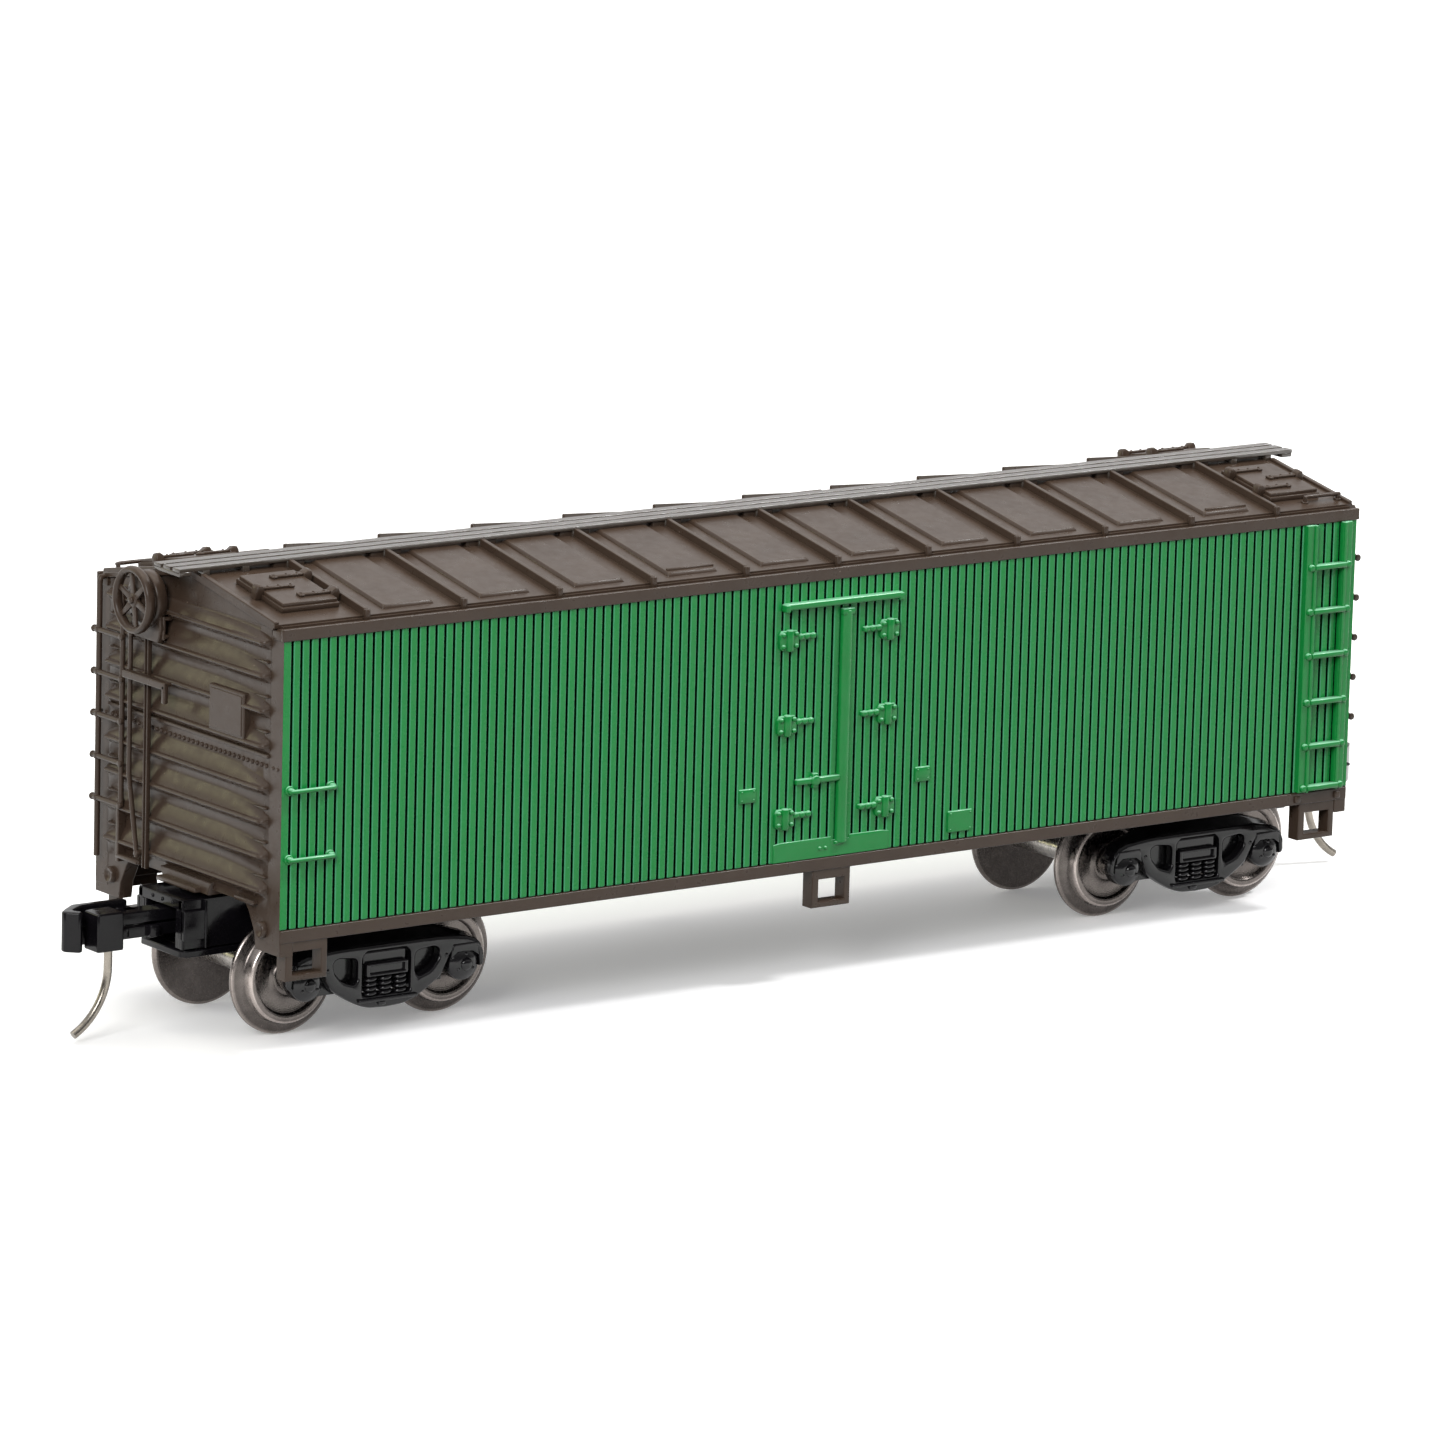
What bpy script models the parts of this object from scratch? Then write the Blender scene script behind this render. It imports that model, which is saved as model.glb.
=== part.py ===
"""A 1:160 model of an ice refrigerator box car: body, roof, hatches, trucks and couplers.

X runs along the car, with the brake wheel (B) end at -X. Y runs across it, and Z is up from the
bottom of the wheel flanges. Lengths are in metres: every number is in millimetres times MM.
"""

import math

import bmesh
import bpy
from mathutils import Matrix

MM = 0.001
FIT = 0.05 * MM  # clearance between two pieces that are fitted together

# Body, measured from the middle of the car and from the flange bottoms.
HALF_LENGTH = 37.7 * MM
HALF_WIDTH = 9.45 * MM
END_WALL = 1.0 * MM
SIDE_WALL_INNER = 8.3 * MM
SIDE_WALL_OUTER = 8.85 * MM
SILL_BOTTOM = 6.6 * MM
SHEATHING_BOTTOM = 7.32 * MM
SHEATHING_TOP = 23.37 * MM
SHEATHING_FACE = 9.38 * MM
SHEATHING_HALF_LENGTH = 37.45 * MM
RIM_TOP = 24.08 * MM
END_BOTTOM = 8.3 * MM
LEG_BOTTOM = 5.85 * MM
RIB_HALF_WIDTH = 8.15 * MM
RIB_HEIGHT = 0.8 * MM
RIB_PROUD = 0.4 * MM
RIB_PITCH = 1.9 * MM
UPPER_RIB = 23.1 * MM
LOWER_RIB = 15.0 * MM
RIBS_A_PANEL = 4
STIRRUP_HALF_WIDTH = 1.3 * MM
STIRRUP_BOTTOM = 4.4 * MM
STIRRUP_BAR = 0.3 * MM
STIRRUP_DEPTH = 1.0 * MM
STIRRUP_STATIONS = (-35.7 * MM, -0.2 * MM, 35.5 * MM)

# Roof.
ROOF_HALF_LENGTH = 37.9 * MM
ROOF_RIDGE = 25.87 * MM
ROOF_SLOPE = 0.19
ROOF_THICKNESS = 0.35 * MM
ROOF_EAVE = 8.7 * MM
WALKWAY_FLAT = 1.42 * MM
ROOF_BAY = 6.4 * MM
ROOF_RIBS_EACH_WAY = 5
ROOF_RIB_WIDTH = 0.42 * MM
ROOF_RIB_HEIGHT = 0.42 * MM
ROOF_PANEL_WIDTH = 3.35 * MM
ROOF_PANEL_HEIGHT = 0.28 * MM

# Running board.
BOARD_HALF_LENGTH = 39.3 * MM
BOARD_HALF_WIDTH = 1.3 * MM
BOARD_BOTTOM = 25.68 * MM
BOARD_TOP = 26.15 * MM
BOARD_SLOT = 0.2 * MM
BOARD_SLOT_DEPTH = 0.25 * MM

# Ice hatches: a plate on the roof slope, with two hinges and one latch.
HATCH_CENTRE = (34.62 * MM, 4.95 * MM)
HATCH_SIZE = (3.75 * MM, 4.6 * MM)
HATCH_HEIGHT = 0.5 * MM
HATCH_LUG = 0.5 * MM

# Trucks.
TRUCK_CENTRE = 28.77 * MM
WHEELBASE = 10.4 * MM
FLANGE_RADIUS = 3.38 * MM
TREAD_RADIUS = 2.62 * MM
WHEEL_INNER_FACE = 3.78 * MM
WHEEL_OUTER_FACE = 5.58 * MM
AXLE_RADIUS = 0.75 * MM
AXLE_TIP = 6.75 * MM
FRAME_INNER = 5.85 * MM
FRAME_OUTER = 6.75 * MM
JOURNAL_RADIUS = 0.85 * MM
JOURNAL_OUTER = 7.15 * MM
BOLSTER_TOP = 5.95 * MM
BOLSTER_BOTTOM = 4.75 * MM

# Couplers, from the B end's box to the tip of its jaw.
BOX_FRONT = 39.4 * MM
BOX_BACK = 31.7 * MM
BOX_SCREW = 32.6 * MM
BOX_HALF_WIDTH = 2.25 * MM
BOX_BOTTOM = 4.95 * MM
BOX_TOP = 7.8 * MM
KINGPIN = 36.6 * MM
COUPLER_TIP = 45.7 * MM
SHANK_HALF_WIDTH = 0.6 * MM
TRIP_PIN_RADIUS = 0.24 * MM
PIN_BACK = -6.4 * MM  # the trip pin's place in its coupler, from the kingpin
PIN_SIDE = -0.4 * MM

# Centre of the brake wheel on the B end.
WHEEL_SPOT = (-39.4 * MM, 3.1 * MM, 23.6 * MM)

# Floor and the weight on it.
FLOOR_BOTTOM = 7.9 * MM
FLOOR_TOP = 8.6 * MM
WEIGHT_THICKNESS = 1.6 * MM


# ---------------------------------------------------------------- scene and materials


def clear_scene():
    for obj in list(bpy.data.objects):
        bpy.data.objects.remove(obj, do_unlink=True)


def new_collection(name):
    collection = bpy.data.collections.new(name)
    bpy.context.scene.collection.children.link(collection)
    return collection


def new_material(name, color, roughness, metallic=0.0):
    material = bpy.data.materials.new(name)
    material.use_nodes = True
    shader = material.node_tree.nodes["Principled BSDF"]
    shader.inputs["Base Color"].default_value = (*color, 1.0)
    shader.inputs["Roughness"].default_value = roughness
    shader.inputs["Metallic"].default_value = metallic
    return material


clear_scene()
CAR = new_collection("refrigerator_car")
BROWN = new_material("brown_plastic", (0.085, 0.066, 0.056), 0.5)
GREEN = new_material("green_plastic", (0.03, 0.28, 0.08), 0.42)
BLACK = new_material("black_plastic", (0.012, 0.012, 0.013), 0.4)
WHEEL_METAL = new_material("blackened_metal", (0.16, 0.15, 0.15), 0.3, 0.9)
AXLE_STEEL = new_material("axle_steel", (0.55, 0.53, 0.5), 0.3, 1.0)
WEIGHT_STEEL = new_material("weight_steel", (0.35, 0.35, 0.36), 0.45, 1.0)
PIN_STEEL = new_material("pin_steel", (0.4, 0.39, 0.37), 0.3, 1.0)


# ---------------------------------------------------------------- shapes


def as_mesh(name, bm):
    mesh = bpy.data.meshes.new(name)
    bmesh.ops.recalc_face_normals(bm, faces=bm.faces)
    bm.to_mesh(mesh)
    bm.free()
    return mesh


def boxes(spans):
    """One mesh of boxes, each given as (x0, x1, y0, y1, z0, z1)."""
    bm = bmesh.new()
    for x0, x1, y0, y1, z0, z1 in spans:
        size = Matrix.Diagonal((x1 - x0, y1 - y0, z1 - z0, 1))
        middle = Matrix.Translation(((x0 + x1) / 2, (y0 + y1) / 2, (z0 + z1) / 2))
        bmesh.ops.create_cube(bm, size=1, matrix=middle @ size)
    return as_mesh("boxes", bm)


def cylinder(axis, radius, start, end, centre=(0, 0), sides=16, end_radius=None):
    """A cylinder, or a cone, along axis from start to end; centre holds the other two coordinates."""
    turns = {
        "X": Matrix.Rotation(math.pi / 2, 4, "Y"),
        "Y": Matrix.Rotation(-math.pi / 2, 4, "X"),
        "Z": Matrix.Identity(4),
    }
    middle = {
        "X": ((start + end) / 2, *centre),
        "Y": (centre[0], (start + end) / 2, centre[1]),
        "Z": (*centre, (start + end) / 2),
    }
    bm = bmesh.new()
    bmesh.ops.create_cone(
        bm,
        cap_ends=True,
        segments=sides,
        radius1=radius,
        radius2=radius if end_radius is None else end_radius,
        depth=end - start,
        matrix=Matrix.Translation(middle[axis]) @ turns[axis],
    )
    return as_mesh("cylinder", bm)


def outline(points, across, start, end):
    """A flat outline filled and drawn out along an axis, from start to end.

    Across "X" the points are (y, z), across "Y" they are (x, z), and across "Z" they are (x, y).
    """
    curve = bpy.data.curves.new("outline", "CURVE")
    curve.dimensions = "2D"
    curve.fill_mode = "BOTH"
    curve.extrude = (end - start) / 2
    loops = points if isinstance(points[0][0], (tuple, list)) else [points]
    for loop in loops:
        spline = curve.splines.new("POLY")
        spline.points.add(len(loop) - 1)
        for point, (a, b) in zip(spline.points, loop):
            point.co = (a, b, 0, 1)
        spline.use_cyclic_u = True
    middle = (start + end) / 2
    rows = {
        "X": ((0, 0, 1, middle), (1, 0, 0, 0), (0, 1, 0, 0)),
        "Y": ((1, 0, 0, 0), (0, 0, -1, middle), (0, 1, 0, 0)),
        "Z": ((1, 0, 0, 0), (0, 1, 0, 0), (0, 0, 1, middle)),
    }
    return mesh_of_curve(curve, Matrix((*rows[across], (0, 0, 0, 1))))


def mesh_of_curve(curve, matrix=None):
    """A curve's solid as a closed mesh, its caps welded to its sides."""
    holder = bpy.data.objects.new("curve", curve)
    bpy.context.scene.collection.objects.link(holder)
    graph = bpy.context.evaluated_depsgraph_get()
    mesh = bpy.data.meshes.new_from_object(holder.evaluated_get(graph))
    bpy.data.objects.remove(holder)
    bm = bmesh.new()
    bm.from_mesh(mesh)
    bmesh.ops.remove_doubles(bm, verts=bm.verts, dist=0.00001 * MM)
    if matrix is not None:
        bmesh.ops.transform(bm, matrix=matrix, verts=bm.verts)
    return as_mesh("curve", bm)


def wire(points, radius, resolution=1):
    """A round wire through the points, with closed ends."""
    curve = bpy.data.curves.new("wire", "CURVE")
    curve.dimensions = "3D"
    curve.bevel_depth = radius
    curve.bevel_resolution = resolution
    curve.use_fill_caps = True
    spline = curve.splines.new("POLY")
    spline.points.add(len(points) - 1)
    for point, place in zip(spline.points, points):
        point.co = (*place, 1)
    return mesh_of_curve(curve)


def turned(profile, axis="Y", steps=24):
    """A profile of (radius, along) points, running down its outer side, spun about an axis."""
    mesh = bpy.data.meshes.new("profile")
    edges = [(i, i + 1) for i in range(len(profile) - 1)]
    mesh.from_pydata([(radius, 0, along) for radius, along in profile], edges, [])
    holder = bpy.data.objects.new("profile", mesh)
    bpy.context.scene.collection.objects.link(holder)
    screw = holder.modifiers.new("turn", "SCREW")
    screw.steps = steps
    screw.render_steps = steps
    screw.use_merge_vertices = True
    screw.merge_threshold = 0.001 * MM
    graph = bpy.context.evaluated_depsgraph_get()
    spun = bpy.data.meshes.new_from_object(holder.evaluated_get(graph))
    bpy.data.objects.remove(holder)
    bm = bmesh.new()
    bm.from_mesh(spun)
    if axis == "Y":
        bmesh.ops.rotate(bm, matrix=Matrix.Rotation(-math.pi / 2, 3, "X"), verts=bm.verts)
    if axis == "X":
        bmesh.ops.rotate(bm, matrix=Matrix.Rotation(math.pi / 2, 3, "Y"), verts=bm.verts)
    return as_mesh("turned", bm)


def moved(mesh, matrix):
    """The mesh with a matrix applied to it."""
    mesh.transform(matrix)
    if matrix.determinant() < 0:
        mesh.flip_normals()
    return mesh


def about_z(mesh):
    """A second copy of a mesh, turned half a turn about the middle of the car."""
    return moved(mesh.copy(), Matrix.Rotation(math.pi, 4, "Z"))


def together(meshes):
    """Meshes that don't touch each other, as one mesh."""
    bm = bmesh.new()
    for mesh in meshes:
        bm.from_mesh(mesh)
    return as_mesh("together", bm)


def solid(parts, holes=()):
    """The union of the parts with the holes cut out of it, as one mesh."""
    holder = bpy.data.objects.new("solid", parts[0])
    bpy.context.scene.collection.objects.link(holder)
    tools = []
    for operation, meshes in (("UNION", parts[1:]), ("DIFFERENCE", holes)):
        for mesh in meshes:
            tool = bpy.data.objects.new("tool", mesh)
            bpy.context.scene.collection.objects.link(tool)
            modifier = holder.modifiers.new(operation.lower(), "BOOLEAN")
            modifier.operation = operation
            modifier.object = tool
            modifier.use_self = operation == "UNION"
            tools.append(tool)
    graph = bpy.context.evaluated_depsgraph_get()
    mesh = bpy.data.meshes.new_from_object(holder.evaluated_get(graph))
    for obj in [holder, *tools]:
        bpy.data.objects.remove(obj)
    return mesh


def place(name, mesh, material, at=(0, 0, 0), parent=None, smooth=False):
    """One named sub-part, with its origin at `at` in its parent."""
    mesh.materials.clear()
    mesh.materials.append(material)
    if smooth:
        mesh.shade_smooth()
        mesh.set_sharp_from_angle(angle=math.radians(40))
    obj = bpy.data.objects.new(name, mesh)
    CAR.objects.link(obj)
    obj.location = at
    obj.parent = parent
    return obj


def empty(name, at=(0, 0, 0), turn=0.0, parent=None):
    obj = bpy.data.objects.new(name, None)
    CAR.objects.link(obj)
    obj.location = at
    obj.rotation_euler = (0, 0, turn)
    obj.parent = parent
    return obj


# ---------------------------------------------------------------- body


def roof_height(y):
    """Height of the roof sheet's upper face, y metres from the middle."""
    return ROOF_RIDGE - ROOF_SLOPE * abs(y)


def stirrup_boxes(x):
    """A square step frame under the near side sill, centred on x."""
    y0 = -HALF_WIDTH + 0.04 * MM
    y1 = y0 + STIRRUP_DEPTH
    left = x - STIRRUP_HALF_WIDTH
    right = x + STIRRUP_HALF_WIDTH
    top = SILL_BOTTOM + 0.2 * MM
    return [
        (left, left + STIRRUP_BAR, y0, y1, STIRRUP_BOTTOM, top),
        (right - STIRRUP_BAR, right, y0, y1, STIRRUP_BOTTOM, top),
        (left, right, y0, y1, STIRRUP_BOTTOM, STIRRUP_BOTTOM + STIRRUP_BAR),
        (left, right, y0, y1, SILL_BOTTOM - 0.45 * MM, top),
    ]


def end_details():
    """Ribs, placard, ledges and pole pockets of the B end, standing out of its wall."""
    x1 = -HALF_LENGTH + 0.2 * MM
    spans = []
    for first in (UPPER_RIB, LOWER_RIB):
        for k in range(RIBS_A_PANEL):
            z = first - k * RIB_PITCH
            low = z - RIB_HEIGHT / 2
            rib_x = -HALF_LENGTH - RIB_PROUD
            spans.append((rib_x, x1, -RIB_HALF_WIDTH, RIB_HALF_WIDTH, low, low + RIB_HEIGHT))
    placard = (-HALF_LENGTH - 0.5 * MM, x1, -6.2 * MM, -2.7 * MM, 17.4 * MM, 20.0 * MM)
    coupler_ledge = (-HALF_LENGTH - 0.75 * MM, x1, -2.0 * MM, 2.0 * MM, 8.0 * MM, 8.7 * MM)
    right_ledge = (-HALF_LENGTH - 0.35 * MM, x1, -7.2 * MM, -5.3 * MM, 8.35 * MM, 8.7 * MM)
    left_step = (-HALF_LENGTH - 0.5 * MM, x1, 4.2 * MM, 6.5 * MM, 8.35 * MM, 8.7 * MM)
    spans += [placard, coupler_ledge, right_ledge, left_step]
    pockets = [
        cylinder("X", 0.45 * MM, -HALF_LENGTH - 0.12 * MM, x1, (side * 7.7 * MM, 7.1 * MM), 12)
        for side in (-1, 1)
    ]
    return [boxes([span]) for span in spans] + pockets


def body_shell():
    """Brown moulding: end walls with legs, side walls behind the sheathing, rim, sills and steps."""
    shell = boxes([(-HALF_LENGTH, HALF_LENGTH, -HALF_WIDTH, HALF_WIDTH, SILL_BOTTOM, RIM_TOP)])
    under_roof = ROOF_THICKNESS + 0.04 * MM
    eave = ROOF_EAVE + 0.05 * MM
    gable_outline = [
        (-eave, RIM_TOP - 0.6 * MM),
        (-eave, roof_height(eave) - under_roof),
        (-WALKWAY_FLAT, roof_height(WALKWAY_FLAT) - under_roof),
        (WALKWAY_FLAT, roof_height(WALKWAY_FLAT) - under_roof),
        (eave, roof_height(eave) - under_roof),
        (eave, RIM_TOP - 0.6 * MM),
    ]
    leg_side = -HALF_WIDTH + 0.02 * MM
    leg_outline = [
        (leg_side, 8.8 * MM),
        (leg_side, LEG_BOTTOM),
        (-6.95 * MM, LEG_BOTTOM),
        (-6.8 * MM, 6.8 * MM),
        (-6.2 * MM, 7.9 * MM),
        (-5.8 * MM, END_BOTTOM),
        (-5.8 * MM, 8.8 * MM),
    ]
    other_leg = [(-y, z) for y, z in leg_outline]
    b_end = end_details()
    for points in (gable_outline, leg_outline, other_leg):
        b_end.append(outline(points, "X", -HALF_LENGTH, -HALF_LENGTH + END_WALL))
    near_steps = [box for x in STIRRUP_STATIONS for box in stirrup_boxes(x)]
    b_end.append(boxes(near_steps))
    inside = HALF_LENGTH - END_WALL
    far = 60 * MM
    cavity = boxes([(-inside, inside, -SIDE_WALL_INNER, SIDE_WALL_INNER, 0, far)])
    recess_box = (
        -SHEATHING_HALF_LENGTH - FIT,
        SHEATHING_HALF_LENGTH + FIT,
        -far,
        -SIDE_WALL_OUTER,
        SHEATHING_BOTTOM - FIT,
        SHEATHING_TOP + FIT,
    )
    recess = boxes([recess_box])
    rebate = boxes([(-far, far, -eave, eave, roof_height(eave) - under_roof, far)])
    between_legs = boxes([(-far, far, -6.9 * MM, 6.9 * MM, 0, END_BOTTOM)])
    hollow = solid([shell], [cavity, rebate, between_legs])
    whole = [hollow, *b_end, *[about_z(mesh) for mesh in b_end]]
    return solid(whole, [recess, about_z(recess)])


def side_panel():
    """Green moulding of the near side: sheathing, door fittings, grab irons and ladder."""
    back = -SIDE_WALL_OUTER - FIT
    face = -SHEATHING_FACE
    root = face + 0.1 * MM
    half = SHEATHING_HALF_LENGTH
    spans = [(-half, half, face, back, SHEATHING_BOTTOM, SHEATHING_TOP)]

    def proud(depth, x0, x1, z0, z1):
        spans.append((x0 * MM, x1 * MM, face - depth * MM, root, z0 * MM, z1 * MM))

    proud(0.45, -4.15, 4.05, 21.95, 22.3)  # drip rail over the doors
    proud(0.3, -0.1, 0.75, 7.8, 21.75)  # lock bar between the doors
    proud(0.2, -4.4, 3.75, 7.35, 8.45)  # threshold
    for z in (20.2, 15.3, 9.9):  # hinge plates and straps, three to a door
        proud(0.3, -4.43, -3.05, z - 0.55, z + 0.55)
        proud(0.25, -3.1, -1.9, z - 0.1, z + 0.4)
        proud(0.3, 2.65, 4.03, z - 0.55, z + 0.55)
        proud(0.25, 1.5, 2.7, z - 0.1, z + 0.4)
    proud(0.25, -3.0, 0.3, 11.75, 12.05)  # latch bar and its cam
    proud(0.35, -1.95, -1.55, 11.2, 12.6)
    proud(0.15, -6.92, -5.8, 11.1, 11.9)  # tack boards
    proud(0.15, 5.45, 6.55, 11.05, 11.9)
    proud(0.2, 7.97, 9.7, 7.8, 9.1)
    for z in (15.12, 11.27):  # grab irons
        proud(0.4, -37.3, -34.4, z - 0.15, z + 0.15)
    proud(0.55, 33.75, 34.5, 7.35, SHEATHING_TOP / MM)  # ladder stiles and rungs
    proud(0.55, 36.6, 37.35, 7.35, SHEATHING_TOP / MM)
    for k in range(6):
        z = 20.87 - 2.68 * k
        proud(0.55, 34.4, 36.7, z - 0.18, z + 0.18)
    return solid([boxes([spans[0]]), *[boxes([span]) for span in spans[1:]]])


def roof():
    """Roof sheet with its cross ribs, raised panels, rib feet and corner grab irons."""
    top_eave = roof_height(ROOF_EAVE)
    top_flat = roof_height(WALKWAY_FLAT)
    thin = ROOF_THICKNESS
    sheet = [
        (-ROOF_EAVE, top_eave - thin),
        (-ROOF_EAVE, top_eave),
        (-WALKWAY_FLAT, top_flat),
        (WALKWAY_FLAT, top_flat),
        (ROOF_EAVE, top_eave),
        (ROOF_EAVE, top_eave - thin),
        (WALKWAY_FLAT, top_flat - thin),
        (-WALKWAY_FLAT, top_flat - thin),
    ]

    def strips(inner, outer, height, x0, x1):
        """A raised strip of each slope, sunk a little into the sheet."""
        sunk = 0.12 * MM
        points = [
            (outer, roof_height(outer) - sunk),
            (outer, roof_height(outer) + height),
            (inner, roof_height(inner) + height),
            (inner, roof_height(inner) - sunk),
        ]
        right = outline(points, "X", x0, x1)
        return [right, moved(right.copy(), Matrix.Diagonal((1, -1, 1, 1)))]

    raised = []
    feet = []
    rib_inner = BOARD_HALF_WIDTH + 0.15 * MM
    for k in range(-ROOF_RIBS_EACH_WAY, ROOF_RIBS_EACH_WAY + 1):
        x = k * ROOF_BAY
        half = ROOF_RIB_WIDTH / 2
        raised += strips(rib_inner, 8.62 * MM, ROOF_RIB_HEIGHT, x - half, x + half)
        foot_half = 0.17 * MM
        foot_low, foot_top = RIM_TOP + 0.08 * MM, roof_height(8.9 * MM) + ROOF_RIB_HEIGHT
        for side in (-1, 1):
            foot_y = sorted((side * 8.5 * MM, side * 8.9 * MM))
            feet.append((x - foot_half, x + foot_half, *foot_y, foot_low, foot_top))
    for k in range(-ROOF_RIBS_EACH_WAY, ROOF_RIBS_EACH_WAY):
        x = (k + 0.5) * ROOF_BAY
        half = ROOF_PANEL_WIDTH / 2
        raised += strips(rib_inner, 8.2 * MM, ROOF_PANEL_HEIGHT, x - half, x + half)
    edge = 0.3 * MM
    for x in (-ROOF_HALF_LENGTH, ROOF_HALF_LENGTH - edge):
        raised += strips(rib_inner, 8.62 * MM, 0.15 * MM, x, x + edge)
    y0, y1 = -7.95 * MM, -7.7 * MM
    grab_top = roof_height(y1) + 0.35 * MM
    grab_low = roof_height(y0) - 0.1 * MM
    grab = [
        boxes([(34.85 * MM, 37.5 * MM, y0, y1, grab_top - 0.2 * MM, grab_top)]),
        boxes([(34.85 * MM, 35.1 * MM, y0, y1, grab_low, grab_top)]),
        boxes([(37.25 * MM, 37.5 * MM, y0, y1, grab_low, grab_top)]),
    ]
    grabs = [*grab, *[about_z(mesh) for mesh in grab]]
    whole = outline(sheet, "X", -ROOF_HALF_LENGTH, ROOF_HALF_LENGTH)
    return solid([whole, together(raised), boxes(feet), *grabs])


def running_board():
    """Three boards side by side, joined by a web under them."""
    pitch = (2 * BOARD_HALF_WIDTH + BOARD_SLOT) / 3
    slots = []
    for y in (-pitch / 2, pitch / 2):
        y0, y1 = y - BOARD_SLOT / 2, y + BOARD_SLOT / 2
        slots.append(boxes([(-60 * MM, 60 * MM, y0, y1, BOARD_TOP - BOARD_SLOT_DEPTH, 40 * MM)]))
    half_x, half_y = BOARD_HALF_LENGTH, BOARD_HALF_WIDTH
    return solid([boxes([(-half_x, half_x, -half_y, half_y, BOARD_BOTTOM, BOARD_TOP)])], slots)


def ice_hatch():
    """A hatch cover lying flat, with two hinge lugs at its +X edge and a latch lug at -X."""
    half_x, half_y = HATCH_SIZE[0] / 2, HATCH_SIZE[1] / 2
    plate = (-half_x, half_x, -half_y, half_y, FIT, HATCH_HEIGHT)
    spans = [plate]
    lug_top = HATCH_HEIGHT + 0.28 * MM
    for side, y in ((1, -1.4 * MM), (1, 1.4 * MM), (-1, 0.0)):
        lug = sorted((side * (half_x - 0.15 * MM), side * (half_x + HATCH_LUG - 0.15 * MM)))
        strap = sorted((side * (half_x - 0.1 * MM), side * (half_x - 2.0 * MM)))
        low, high = HATCH_HEIGHT - 0.1 * MM, HATCH_HEIGHT + 0.15 * MM
        spans.append((*lug, y - 0.3 * MM, y + 0.3 * MM, FIT, lug_top))
        spans.append((*strap, y - 0.12 * MM, y + 0.12 * MM, low, high))
    return solid([boxes([span]) for span in spans])


def place_hatches():
    x, y = HATCH_CENTRE
    tilt = math.atan(ROOF_SLOPE)
    mesh = ice_hatch()
    for end, end_turn in (("b", 0.0), ("a", math.pi)):
        for side_name, side in (("near", -1), ("far", 1)):
            x_side = -1 if end == "b" else 1
            hatch = place(f"ice_hatch_{end}_{side_name}", mesh, BROWN, (x_side * x, side * y, roof_height(y)))
            slope = Matrix.Rotation(-side * tilt, 4, "X")
            hatch.rotation_euler = (slope @ Matrix.Rotation(end_turn, 4, "Z")).to_euler()


# ---------------------------------------------------------------- end fittings


def end_ladder():
    """Ladder of the B end, on its +Y side: two stiles and five rungs."""
    front = -HALF_LENGTH - 0.95 * MM
    back = -HALF_LENGTH - RIB_PROUD - FIT
    spans = []
    for y in (6.4 * MM, 8.75 * MM):
        spans.append((front + 0.15 * MM, back, y - 0.15 * MM, y + 0.15 * MM, 8.75 * MM, 23.6 * MM))
    for k in range(5):
        z = 21.1 * MM - k * 2.39 * MM
        spans.append((front, back - 0.1 * MM, 6.1 * MM, 9.3 * MM, z - 0.2 * MM, z + 0.2 * MM))
    return solid([boxes([span]) for span in spans])


def brake_wheel():
    """Spoked hand wheel of the B end, turned about X, with its hub at the origin."""
    rim = turned(
        [(r * MM, z * MM) for r, z in ((1.95, 0.2), (1.95, -0.2), (1.6, -0.2), (1.6, 0.2), (1.95, 0.2))],
        "X",
        20,
    )
    hub = cylinder("X", 0.4 * MM, -0.25 * MM, 0.2 * MM, sides=12)
    parts = [rim, hub]
    for k in range(6):
        spoke = boxes([(-0.1 * MM, 0.1 * MM, -0.13 * MM, 0.13 * MM, 0.1 * MM, 1.65 * MM)])
        parts.append(moved(spoke, Matrix.Rotation(math.radians(60 * k + 10), 4, "X")))
    return solid(parts)


def brake_housing():
    """Gear housing behind the hand wheel, with the guide channel below it."""
    y, z = WHEEL_SPOT[1:]
    front = WHEEL_SPOT[0] + 0.25 * MM
    back = -HALF_LENGTH - RIB_PROUD - FIT
    drum = cylinder("X", 1.6 * MM, front, back, (y, z), 24)
    channel = boxes([(back - 0.3 * MM, back, 3.05 * MM, 3.5 * MM, 8.85 * MM, z)])
    return solid([drum, channel])


def brake_step():
    """Step for the brakeman, across the left of the B end under the hand wheel."""
    back = -HALF_LENGTH - RIB_PROUD - FIT
    plate = boxes([(-39.0 * MM, back, 0.4 * MM, 4.9 * MM, 19.05 * MM, 19.42 * MM)])
    bracket = boxes([(-38.8 * MM, back, 0.45 * MM, 0.8 * MM, 18.2 * MM, 19.35 * MM)])
    behind_channel = boxes([(-38.55 * MM, 0, 2.95 * MM, 3.6 * MM, 0, 40 * MM)])
    around_rod = boxes([(-38.75 * MM, 0, 4.5 * MM, 5.0 * MM, 0, 40 * MM)])
    return solid([plate, bracket], [behind_channel, around_rod])


def brake_rod():
    """Rod from the gear housing down to the end sill, cranked part way down."""
    x = -HALF_LENGTH - 0.8 * MM
    points = [(x, 4.78 * MM, z * MM) for z in (21.6, 13.6)]
    points += [(x, 4.7 * MM, 13.1 * MM), (x, 3.85 * MM, 8.9 * MM)]
    return wire(points, 0.14 * MM, 1)


# ---------------------------------------------------------------- floor and weight


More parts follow.
